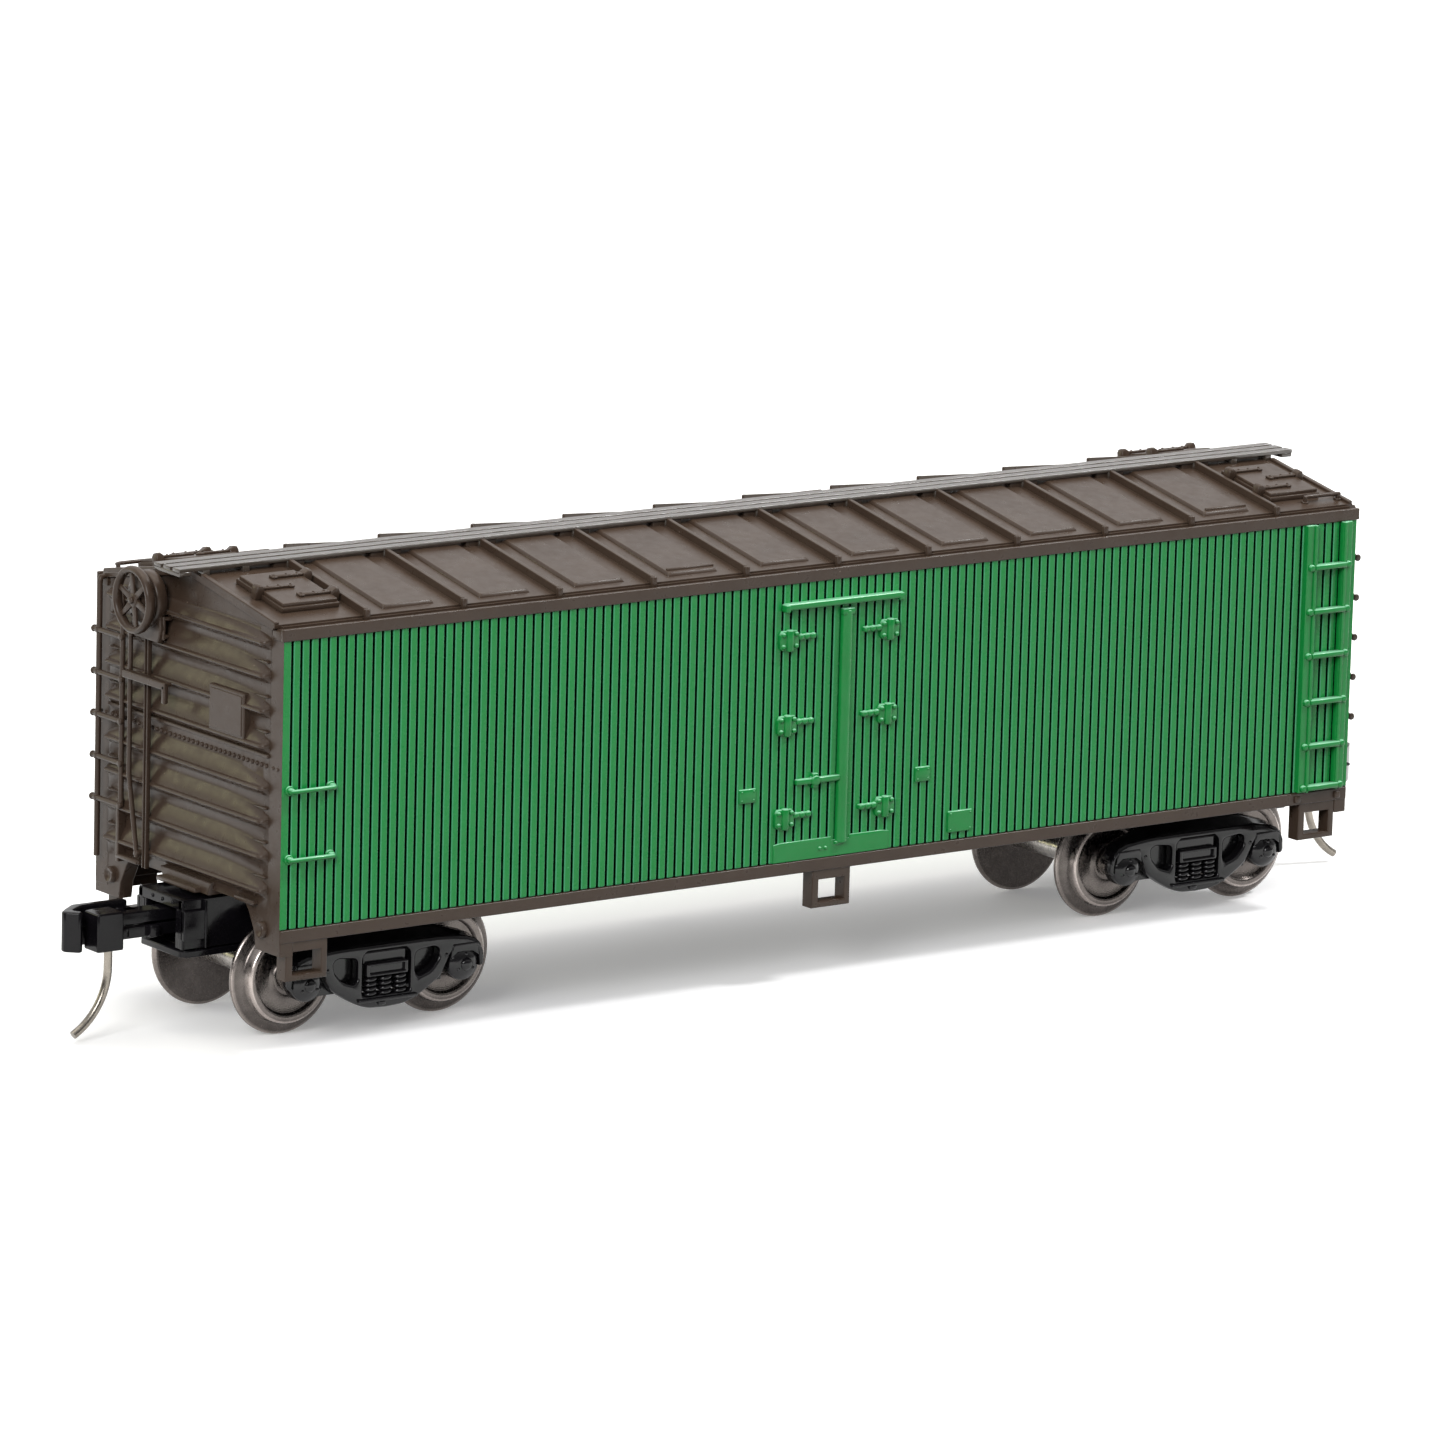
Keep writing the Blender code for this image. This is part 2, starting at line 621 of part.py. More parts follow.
def underframe():
    """Black floor with its centre sill, cross bearers, truck pads and brake parts."""
    half_x, half_y = HALF_LENGTH - END_WALL - FIT, SIDE_WALL_INNER - FIT
    parts = [boxes([(-half_x, half_x, -half_y, half_y, FLOOR_BOTTOM, FLOOR_TOP)])]
    root = FLOOR_BOTTOM + 0.2 * MM
    spans = [(-24 * MM, 24 * MM, -0.9 * MM, 0.9 * MM, 5.6 * MM, root)]
    for x in (-20, -10, 0, 10, 20):
        spans.append(((x - 0.4) * MM, (x + 0.4) * MM, -7.9 * MM, 7.9 * MM, 6.9 * MM, root))
    spans.append((-7.5 * MM, -3.5 * MM, -4.6 * MM, -0.5 * MM, 6.6 * MM, root))
    parts += [boxes([span]) for span in spans]
    for x0, x1, y, z, radius in ((-7.0, -2.2, 3.4, 6.6, 0.95), (3.0, 8.0, 3.2, 6.9, 0.8)):
        parts.append(cylinder("X", radius * MM, x0 * MM, x1 * MM, (y * MM, z * MM), 12))
        hanger = ((x0 + 1) * MM, (x1 - 1) * MM, (y - 0.4) * MM, (y + 0.4) * MM, z * MM, root)
        parts.append(boxes([hanger]))
    holes = []
    for side in (-1, 1):
        at = (side * TRUCK_CENTRE, 0)
        parts.append(cylinder("Z", 1.65 * MM, BOLSTER_TOP + 0.1 * MM, root, at, 20))
        holes.append(cylinder("Z", 0.62 * MM, 5 * MM, FLOOR_TOP - 0.15 * MM, at, 12))
        screw_at = (side * BOX_SCREW, 0)
        holes.append(cylinder("Z", 0.42 * MM, 5 * MM, FLOOR_TOP - 0.15 * MM, screw_at, 12))
    return solid(parts, holes)


def weight():
    half_x, half_y, low = 33 * MM, 7.4 * MM, FLOOR_TOP + FIT
    return boxes([(-half_x, half_x, -half_y, half_y, low, low + WEIGHT_THICKNESS)])


def screw(head_radius, head_low, head_high, shank_radius, top):
    """A pan-headed screw from below, with a cross slot in its head."""
    body = turned(
        [
            (0, top),
            (shank_radius, top),
            (shank_radius, head_high),
            (head_radius, head_high),
            (head_radius, head_low + 0.15 * MM),
            (head_radius - 0.2 * MM, head_low),
            (0, head_low),
        ],
        "Z",
        16,
    )
    arm, wide = head_radius - 0.35 * MM, 0.12 * MM
    slots = [
        boxes([(-arm, arm, -wide, wide, 0, head_low + 0.25 * MM)]),
        boxes([(-wide, wide, -arm, arm, 0, head_low + 0.25 * MM)]),
    ]
    return solid([body], slots)


# ---------------------------------------------------------------- trucks


def truck_frame():
    """Two cast side frames and the bolster between them, with its middle on the truck screw."""
    half_base = WHEELBASE / 2
    axle_z = FLANGE_RADIUS
    side_points = [
        (-6.2, 4.3), (-5.6, 4.75), (-4.3, 5.0), (-2.2, 5.75), (2.2, 5.75), (4.3, 5.0), (5.6, 4.75),
        (6.2, 4.3), (6.2, 2.8), (4.6, 2.6), (3.2, 1.75), (2.2, 1.35), (-2.2, 1.35), (-3.2, 1.75),
        (-4.6, 2.6), (-6.2, 2.8),
    ]
    window = [(-1.55, 2.2), (1.55, 2.2), (1.55, 4.95), (-1.55, 4.95)]
    gusset = [(2.15, 2.55), (2.55, 2.45), (3.75, 3.7), (3.4, 4.4), (2.5, 4.75), (2.15, 4.4)]
    other_gusset = [(-x, z) for x, z in gusset]
    loops = [
        [(x * MM, z * MM) for x, z in loop]
        for loop in (side_points, window, gusset, other_gusset)
    ]
    parts = [boxes([(-1.3 * MM, 1.3 * MM, -6.4 * MM, 6.4 * MM, BOLSTER_BOTTOM, BOLSTER_TOP)])]
    holes = [cylinder("Z", 0.72 * MM, 0, 10 * MM, sides=12)]
    for side in (-1, 1):
        y0, y1 = sorted((side * FRAME_INNER, side * FRAME_OUTER))
        parts.append(outline(loops, "Y", y0, y1))
        springs = sorted((side * (FRAME_INNER + 0.1 * MM), side * (FRAME_OUTER - 0.1 * MM)))
        parts.append(boxes([(-1.6 * MM, 1.6 * MM, *springs, 2.1 * MM, 4.0 * MM)]))
        for x in (-half_base, half_base):
            box_y = sorted((side * (FRAME_INNER + 0.05 * MM), side * JOURNAL_OUTER))
            parts.append(cylinder("Y", JOURNAL_RADIUS, *box_y, (x, axle_z), 12))
            cone = sorted((side * 5.0 * MM, side * (AXLE_TIP + 0.12 * MM)))
            wide = AXLE_RADIUS + 0.3 * MM
            small = 0.1 * MM
            radii = (small, wide) if side < 0 else (wide, small)
            holes.append(cylinder("Y", radii[0], *cone, (x, axle_z), 12, radii[1]))
    return solid(parts, holes)


def wheel():
    """A wheel with its flange towards -Y and its outer face towards +Y, its axle hole at the origin."""
    hole = AXLE_RADIUS + FIT / 2
    return turned(
        [
            (hole, 5.2 * MM),
            (2.15 * MM, 5.2 * MM),
            (2.25 * MM, WHEEL_OUTER_FACE),
            (TREAD_RADIUS, WHEEL_OUTER_FACE),
            (TREAD_RADIUS + 0.06 * MM, 4.5 * MM),
            (FLANGE_RADIUS, 4.05 * MM),
            (FLANGE_RADIUS, WHEEL_INNER_FACE),
            (hole, WHEEL_INNER_FACE),
            (hole, 5.2 * MM),
        ],
        "Y",
        24,
    )


def axle():
    """A needle-pointed axle along Y."""
    shoulder = 5.5 * MM
    tip = 0.06 * MM
    return turned(
        [
            (0, AXLE_TIP),
            (tip, AXLE_TIP),
            (AXLE_RADIUS, shoulder),
            (AXLE_RADIUS, -shoulder),
            (tip, -AXLE_TIP),
            (0, -AXLE_TIP),
        ],
        "Y",
        16,
    )


def place_trucks():
    frame_mesh, wheel_mesh, axle_mesh = truck_frame(), wheel(), axle()
    screw_mesh = screw(1.3 * MM, 4.2 * MM, BOLSTER_BOTTOM - FIT, 0.58 * MM, FLOOR_TOP - 0.3 * MM)
    mirrored = moved(wheel_mesh.copy(), Matrix.Diagonal((1, -1, 1, 1)))
    for end, x in (("b", -TRUCK_CENTRE), ("a", TRUCK_CENTRE)):
        pivot = empty(f"truck_{end}_pivot", (x, 0, 0))
        place(f"truck_frame_{end}", frame_mesh, BLACK, parent=pivot)
        place(f"truck_screw_{end}", screw_mesh, PIN_STEEL, (x, 0, 0), smooth=True)
        for place_name, along in (("outer", -1), ("inner", 1)):
            if end == "a":
                along = -along
            label = f"{end}_{place_name}"
            centre = (along * WHEELBASE / 2, 0, FLANGE_RADIUS)
            spot = empty(f"axle_{label}_centre", centre, parent=pivot)
            place(f"axle_{label}", axle_mesh, AXLE_STEEL, parent=spot, smooth=True)
            place(f"wheel_{label}_far", wheel_mesh, WHEEL_METAL, parent=spot, smooth=True)
            place(f"wheel_{label}_near", mirrored, WHEEL_METAL, parent=spot, smooth=True)


# ---------------------------------------------------------------- couplers


def coupler_box():
    """Draft gear box of the B end, open below, with a window in front and a kingpin inside."""
    shell = boxes([(-BOX_FRONT, -BOX_BACK, -BOX_HALF_WIDTH, BOX_HALF_WIDTH, BOX_BOTTOM, BOX_TOP)])
    ear = BOX_HALF_WIDTH + 0.2 * MM
    ears = boxes([(-BOX_FRONT, -37.8 * MM, -ear, ear, 5.5 * MM, 7.2 * MM)])
    inner_y = 1.8 * MM
    cavity = boxes([(-BOX_FRONT + 0.5 * MM, -34.2 * MM, -inner_y, inner_y, 0, 7.2 * MM)])
    window = boxes([(-60 * MM, -38 * MM, -1.6 * MM, 1.6 * MM, 0, 7.2 * MM)])
    screw_hole = cylinder("Z", 0.45 * MM, 0, 10 * MM, (-BOX_SCREW, 0), 12)
    hollow = solid([shell, ears], [cavity, window, screw_hole])
    kingpin = cylinder("Z", 0.5 * MM, BOX_BOTTOM + 0.1 * MM, 7.4 * MM, (-KINGPIN, 0), 16)
    return solid([hollow, kingpin])


def coupler_lid():
    """Plate that closes the box from below and holds the coupler in."""
    plate = boxes([(-BOX_FRONT, -BOX_BACK, -2.3 * MM, 2.3 * MM, 4.5 * MM, BOX_BOTTOM - FIT)])
    screw_hole = cylinder("Z", 0.45 * MM, 0, 10 * MM, (-BOX_SCREW, 0), 12)
    return solid([plate], [screw_hole])


def knuckle_half():
    """Upper half of the coupler: its arm passes on the +Y side and ends in the jaw.

    The origin is on the kingpin, and the coupler points to -X.
    """
    z0, z1 = 6.35 * MM, 7.05 * MM
    low, high = 5.15 * MM, 7.45 * MM
    reach = COUPLER_TIP - KINGPIN
    side = 1.4 * MM
    parts = [
        cylinder("Z", 1.05 * MM, z0, z1, sides=20),
        boxes([(-5.05 * MM, -0.6 * MM, -SHANK_HALF_WIDTH, SHANK_HALF_WIDTH, z0, z1)]),
        boxes([(-5.05 * MM, -4.3 * MM, 0, side, z0, z1)]),
        boxes([(-5.7 * MM, -4.3 * MM, 0.8 * MM, side, z0, high)]),
    ]
    jaw = [
        (-8.45 * MM, -0.75 * MM),
        (-reach, -0.1 * MM),
        (-reach, 0.2 * MM),
        (-7.7 * MM, side),
        (-5.6 * MM, side),
        (-5.6 * MM, 0.8 * MM),
        (-7.3 * MM, 0.8 * MM),
        (-8.35 * MM, 0.15 * MM),
        (-8.1 * MM, -0.45 * MM),
    ]
    parts.append(outline(jaw, "Z", low, high))
    return solid(parts, [cylinder("Z", 0.55 * MM, 0, 10 * MM, sides=20)])


def guard_half():
    """Lower half of the coupler: its block closes the jaw from behind and holds the trip pin."""
    z0, z1 = 5.55 * MM, 6.25 * MM
    parts = [
        cylinder("Z", 1.05 * MM, z0, z1, sides=20),
        boxes([(-6.2 * MM, -0.6 * MM, -SHANK_HALF_WIDTH, 0.4 * MM, z0, z1)]),
        boxes([(-7.65 * MM, -5.9 * MM, -1.3 * MM, 0.4 * MM, 5.15 * MM, 7.35 * MM)]),
        boxes([(-4.0 * MM, -3.35 * MM, -0.95 * MM, 0, z0, z1)]),
    ]
    pin_hole = cylinder("Z", TRIP_PIN_RADIUS + FIT / 2, 0, 6.4 * MM, (PIN_BACK, PIN_SIDE), 10)
    return solid(parts, [cylinder("Z", 0.55 * MM, 0, 10 * MM, sides=20), pin_hole])


def trip_pin():
    """Steel pin under the coupler, curving forward to just above the rail."""
    points = [(PIN_BACK, PIN_SIDE, z * MM) for z in (6.2, 4.45)]
    bend, bend_start = 4.2 * MM, 4.2 * MM
    for k in range(1, 8):
        angle = math.radians(8.8 * k)
        forward = bend * (1 - math.cos(angle))
        points.append((PIN_BACK - forward, PIN_SIDE, bend_start - bend * math.sin(angle)))
    return wire(points, TRIP_PIN_RADIUS, 1)


def coupler_spring():
    """Small coil spring that centres the shank, lying behind the kingpin in its box."""
    turns, steps = 4, 8
    radius, wire_radius, length = 0.45 * MM, 0.09 * MM, 1.0 * MM
    points = []
    for k in range(turns * steps + 1):
        angle = 2 * math.pi * k / steps
        along = 1.2 * MM + length * k / (turns * steps)
        points.append((along, radius * math.cos(angle), 6.3 * MM + radius * math.sin(angle)))
    return wire(points, wire_radius, 0)


def place_couplers():
    meshes = {
        "coupler_box": (coupler_box(), BLACK),
        "coupler_lid": (coupler_lid(), BLACK),
    }
    screw_mesh = screw(0.75 * MM, 4.2 * MM, 4.5 * MM - FIT, 0.38 * MM, FLOOR_TOP - 0.3 * MM)
    knuckle_mesh, guard_mesh = knuckle_half(), guard_half()
    pin_mesh, spring_mesh = trip_pin(), coupler_spring()
    for end, turn in (("b", 0.0), ("a", math.pi)):
        car_end = empty(f"{end}_end", turn=turn)
        for name, (mesh, material) in meshes.items():
            place(f"{name}_{end}", mesh, material, parent=car_end)
        place(f"coupler_screw_{end}", screw_mesh, PIN_STEEL, (-BOX_SCREW, 0, 0), car_end, smooth=True)
        pivot = empty(f"coupler_{end}_pivot", (-KINGPIN, 0, 0), parent=car_end)
        place(f"coupler_knuckle_half_{end}", knuckle_mesh, BLACK, parent=pivot)
        place(f"coupler_guard_half_{end}", guard_mesh, BLACK, parent=pivot)
        place(f"trip_pin_{end}", pin_mesh, PIN_STEEL, parent=pivot, smooth=True)
        place(f"coupler_spring_{end}", spring_mesh, PIN_STEEL, parent=pivot, smooth=True)


# ---------------------------------------------------------------- the car

place("body_shell", body_shell(), BROWN)
panel = side_panel()
for side_name, turn in (("near", 0.0), ("far", math.pi)):
    side = empty(f"{side_name}_side", turn=turn)
    place(f"side_panel_{side_name}", panel, GREEN, parent=side)
place("roof", roof(), BROWN)
place("running_board", running_board(), BROWN)
place_hatches()
ladder = end_ladder()
for end, turn in (("b", 0.0), ("a", math.pi)):
    place(f"end_ladder_{end}", ladder, BROWN, parent=empty(f"ladder_{end}_end", turn=turn))
place("brake_wheel", brake_wheel(), BROWN, WHEEL_SPOT)
place("brake_housing", brake_housing(), BROWN)
place("brake_step", brake_step(), BROWN)
place("brake_rod", brake_rod(), BROWN, smooth=True)
place("underframe", underframe(), BLACK)
place("weight", weight(), WEIGHT_STEEL)
place_trucks()
place_couplers()
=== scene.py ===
"""The looks of a 1:160 model refrigerator car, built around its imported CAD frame.

Shapes are drawn in millimetres in the frame of the CAD: X along the car with the brake wheel (B) end
at -X, Z up from the wheel flanges. What one end or side has, the other has turned half a turn about Z.
"""

import math

import bmesh
import bpy
from mathutils import Matrix, Vector


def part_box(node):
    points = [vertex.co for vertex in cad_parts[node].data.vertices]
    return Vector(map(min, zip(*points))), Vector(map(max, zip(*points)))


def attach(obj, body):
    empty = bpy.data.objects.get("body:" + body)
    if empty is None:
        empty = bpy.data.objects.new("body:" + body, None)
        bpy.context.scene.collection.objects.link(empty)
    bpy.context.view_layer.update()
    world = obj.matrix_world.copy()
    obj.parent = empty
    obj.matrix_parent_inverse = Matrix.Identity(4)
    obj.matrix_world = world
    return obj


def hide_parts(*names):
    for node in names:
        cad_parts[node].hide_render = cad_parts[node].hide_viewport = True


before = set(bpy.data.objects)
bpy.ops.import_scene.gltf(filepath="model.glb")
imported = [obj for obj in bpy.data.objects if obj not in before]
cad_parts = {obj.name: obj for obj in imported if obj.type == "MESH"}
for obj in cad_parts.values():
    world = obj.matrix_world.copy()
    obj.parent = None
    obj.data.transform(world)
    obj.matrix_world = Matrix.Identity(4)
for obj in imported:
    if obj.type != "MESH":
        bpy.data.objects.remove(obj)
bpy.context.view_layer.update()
scene = bpy.context.scene

MM = 0.001
EDGE = 0.06  # rounding of a moulded edge
DOME_SUNK = 0.03  # how far a rivet's head goes into its face
MOST_EDGE = 0.4  # a rounding's largest share of the thickness it is on
SMOOTH_ANGLE = math.radians(50)
HALF_TURN = Matrix.Rotation(math.pi, 4, "Z")
ENDS = {"b": Matrix.Identity(4), "a": HALF_TURN}
SIDES = {"near": Matrix.Identity(4), "far": HALF_TURN}
TOWARDS_B = Matrix.Rotation(-math.pi / 2, 4, "Y")  # carries the Z axis onto -X
TOWARDS_NEAR = Matrix.Rotation(math.pi / 2, 4, "X")  # carries the Z axis onto -Y


def cad_centre(node):
    """The middle of a CAD node's box, in metres."""
    low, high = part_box(node)
    return (low + high) / 2


# ---------------------------------------------------------------- shapes


def around(middle, half):
    """The (low, high) pair that reaches `half` to each side of `middle`."""
    return middle - half, middle + half


def rectangle(x0, x1, z0, z1):
    """An outline between two edges and two levels."""
    return [(x0, z0), (x1, z0), (x1, z1), (x0, z1)]


def flipped(points, side):
    """An outline on the side of the middle plane that `side` (-1 or 1) says."""
    return [(side * a, b) for a, b in points]


def shifted(points, x, z=0.0):
    """An outline moved sideways and up."""
    return [(x + a, z + b) for a, b in points]


def circle(radius, steps, x=0.0, start=0.0):
    """Points round a circle whose middle is at (x, 0), the first of them at `start` degrees."""
    angles = [math.radians(start) + 2 * math.pi * k / steps for k in range(steps)]
    return [(x + radius * math.cos(angle), radius * math.sin(angle)) for angle in angles]


def join_rings(part, rings):
    """Faces between rings of points, and one across each end."""
    for lower, upper in zip(rings, rings[1:]):
        for k in range(len(lower)):
            part.faces.new((lower[k - 1], lower[k], upper[k], upper[k - 1]))
    part.faces.new(rings[0][::-1])
    part.faces.new(rings[-1])


def frame_of(axis, centre):
    """A matrix that carries the Z axis onto `axis` and the origin to `centre` in the plane across it."""
    a, b = centre
    if axis == "X":
        return Matrix(((0, 0, 1, 0), (1, 0, 0, a), (0, 1, 0, b), (0, 0, 0, 1)))
    if axis == "Y":
        return Matrix(((0, 1, 0, a), (0, 0, 1, 0), (1, 0, 0, b), (0, 0, 0, 1)))
    return Matrix(((1, 0, 0, a), (0, 1, 0, b), (0, 0, 1, 0), (0, 0, 0, 1)))


class Shape:
    """Closed shapes gathered into one piece, in millimetres."""

    def __init__(self):
        self.bm = bmesh.new()

    def add(self, part, matrix=None):
        """Takes in a closed bmesh, moved by a matrix; the bmesh itself is freed."""
        bmesh.ops.recalc_face_normals(part, faces=part.faces)
        if matrix is not None:
            bmesh.ops.transform(part, matrix=matrix, verts=part.verts)
        mesh = bpy.data.meshes.new("part")
        part.to_mesh(mesh)
        part.free()
        self.bm.from_mesh(mesh)
        bpy.data.meshes.remove(mesh)

    def include(self, other, matrix=None):
        """Another shape's copy, moved by a matrix."""
        self.add(other.bm.copy(), matrix)

    def box(self, x, y, z, edge=EDGE, matrix=None):
        """A box between (low, high) pairs, with rounded edges."""
        sides = [sorted(pair) for pair in (x, y, z)]
        size = [high - low for low, high in sides]
        middle = [(high + low) / 2 for low, high in sides]
        part = bmesh.new()
        bmesh.ops.create_cube(part, size=1, matrix=Matrix.Translation(middle) @ Matrix.Diagonal((*size, 1)))
        edge = min(edge, MOST_EDGE * min(size))
        if edge > 0:
            bevel = {"segments": 2, "profile": 0.5, "affect": "EDGES", "clamp_overlap": True}
            bmesh.ops.bevel(part, geom=part.edges[:], offset=edge, **bevel)
        self.add(part, matrix)

    def turn(self, profile, axis="Z", centre=(0, 0), sides=32, matrix=None):
        """A closed profile of (radius, along) points spun about an axis."""
        part = bmesh.new()
        rings = []
        for radius, along in profile:
            if radius < 1e-6:
                rings.append([part.verts.new((0, 0, along))] * sides)
                continue
            rings.append([part.verts.new((x, y, along)) for x, y in circle(radius, sides)])
        for lower, upper in zip(rings, rings[1:]):
            for k in range(sides):
                corners = [lower[k], lower[k - 1], upper[k - 1], upper[k]]
                corners = [v for i, v in enumerate(corners) if v not in corners[:i]]
                if len(corners) > 2:
                    part.faces.new(corners)
        bmesh.ops.remove_doubles(part, verts=part.verts, dist=1e-6)
        place = frame_of(axis, centre)
        self.add(part, place if matrix is None else matrix @ place)

    def rod(self, axis, radius, along, centre=(0, 0), edge=0.04, sides=24, matrix=None):
        """A cylinder with rounded rims between the two ends in `along`."""
        low, high = sorted(along)
        edge = min(edge, MOST_EDGE * (high - low), MOST_EDGE * radius)
        inner, half = radius - edge, 0.3 * edge
        profile = [(0, high), (inner, high), (radius - half, high - half), (radius, high - edge)]
        profile += [(radius, low + edge), (radius - half, low + half), (inner, low), (0, low)]
        self.turn(profile, axis, centre, sides, matrix)

    def dome(self, place, direction, radius, height, sides=10):
        """A rivet head on a face that looks along `direction`."""
        profile = [(0, height)]
        for angle in (math.pi / 2 * k / 3 for k in range(1, 4)):
            profile.append((radius * math.sin(angle), height * math.cos(angle)))
        profile += [(radius, -DOME_SUNK), (0, -DOME_SUNK)]
        turn = Vector((0, 0, 1)).rotation_difference(Vector(direction)).to_matrix().to_4x4()
        self.turn(profile, "Z", (0, 0), sides, Matrix.Translation(place) @ turn)

    def plate(self, loops, across, along, edge=EDGE, matrix=None):
        """A flat outline, with holes if more loops are given, drawn out along an axis with rounded edges.

        Across "X" the points are (y, z), across "Y" they are (x, z), and across "Z" they are (x, y).
        """
        low, high = sorted(along)
        edge = min(edge, MOST_EDGE * (high - low))
        curve = bpy.data.curves.new("outline", "CURVE")
        curve.dimensions = "2D"
        curve.fill_mode = "BOTH"
        curve.extrude = (high - low) / 2 - edge
        curve.bevel_depth = edge
        curve.bevel_resolution = 1
        curve.offset = -edge
        for loop in loops:
            spline = curve.splines.new("POLY")
            spline.points.add(len(loop) - 1)
            for point, (a, b) in zip(spline.points, loop):
                point.co = (a, b, 0, 1)
            spline.use_cyclic_u = True
        middle = (low + high) / 2
        rows = {
            "X": ((0, 0, 1, middle), (1, 0, 0, 0), (0, 1, 0, 0)),
            "Y": ((1, 0, 0, 0), (0, 0, -1, middle), (0, 1, 0, 0)),
            "Z": ((1, 0, 0, 0), (0, 1, 0, 0), (0, 0, 1, middle)),
        }
        place = Matrix((*rows[across], (0, 0, 0, 1)))
        self.curve(curve, place if matrix is None else matrix @ place)

    def tube(self, points, radius, matrix=None, resolution=3):
        """A round wire through the points, with closed ends."""
        curve = bpy.data.curves.new("wire", "CURVE")
        curve.dimensions = "3D"
        curve.bevel_depth = radius
        curve.bevel_resolution = resolution
        curve.use_fill_caps = True
        spline = curve.splines.new("POLY")
        spline.points.add(len(points) - 1)
        for point, place in zip(spline.points, points):
            point.co = (*place, 1)
        self.curve(curve, matrix)

    def curve(self, curve, matrix=None):
        """A curve turned into a mesh; the curve itself is removed."""
        holder = bpy.data.objects.new("curve", curve)
        scene.collection.objects.link(holder)
        graph = bpy.context.evaluated_depsgraph_get()
        mesh = bpy.data.meshes.new_from_object(holder.evaluated_get(graph))
        bpy.data.objects.remove(holder)
        bpy.data.curves.remove(curve)
        part = bmesh.new()
        part.from_mesh(mesh)
        bpy.data.meshes.remove(mesh)
        bmesh.ops.remove_doubles(part, verts=part.verts, dist=1e-5)
        self.add(part, matrix)


def moved(shape, matrix):
    """A copy of a shape, moved by a matrix."""
    copy = Shape()
    copy.include(shape, matrix)
    return copy


def piece(name, shape, finish, body, replaces=(), matrix=None, centre=(0, 0, 0)):
    """Turns a shape into an object that rides on a body; its origin goes to `centre`, in metres.

    The finish is the object's material and the name of a CAD slot; only the material is used here.
    """
    material, slot = finish
    centre = Vector(centre)
    place = Matrix.Diagonal((MM, MM, MM, 1))
    if matrix is not None:
        place = matrix @ place
    bm = shape.bm.copy()
    bmesh.ops.transform(bm, matrix=Matrix.Translation(-centre) @ place, verts=bm.verts)
    mesh = bpy.data.meshes.new(name)
    bm.to_mesh(mesh)
    bm.free()
    mesh.materials.append(material)
    mesh.shade_smooth()
    mesh.set_sharp_from_angle(angle=SMOOTH_ANGLE)
    obj = bpy.data.objects.new(name, mesh)
    scene.collection.objects.link(obj)
    obj.location = centre
    weighted = obj.modifiers.new("normals", "WEIGHTED_NORMAL")
    weighted.keep_sharp = True
    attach(obj, body)
    if replaces:
        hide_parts(*replaces)


# ---------------------------------------------------------------- materials


SPECK_RARITY = 0.72  # the share of the cells that stay without a speck
DUST_GAIN, DUST_LIFT = 3.5, 0.08  # how much paler than the plastic a speck is
POLISH_SPREAD = 0.06  # how far the roughness wanders


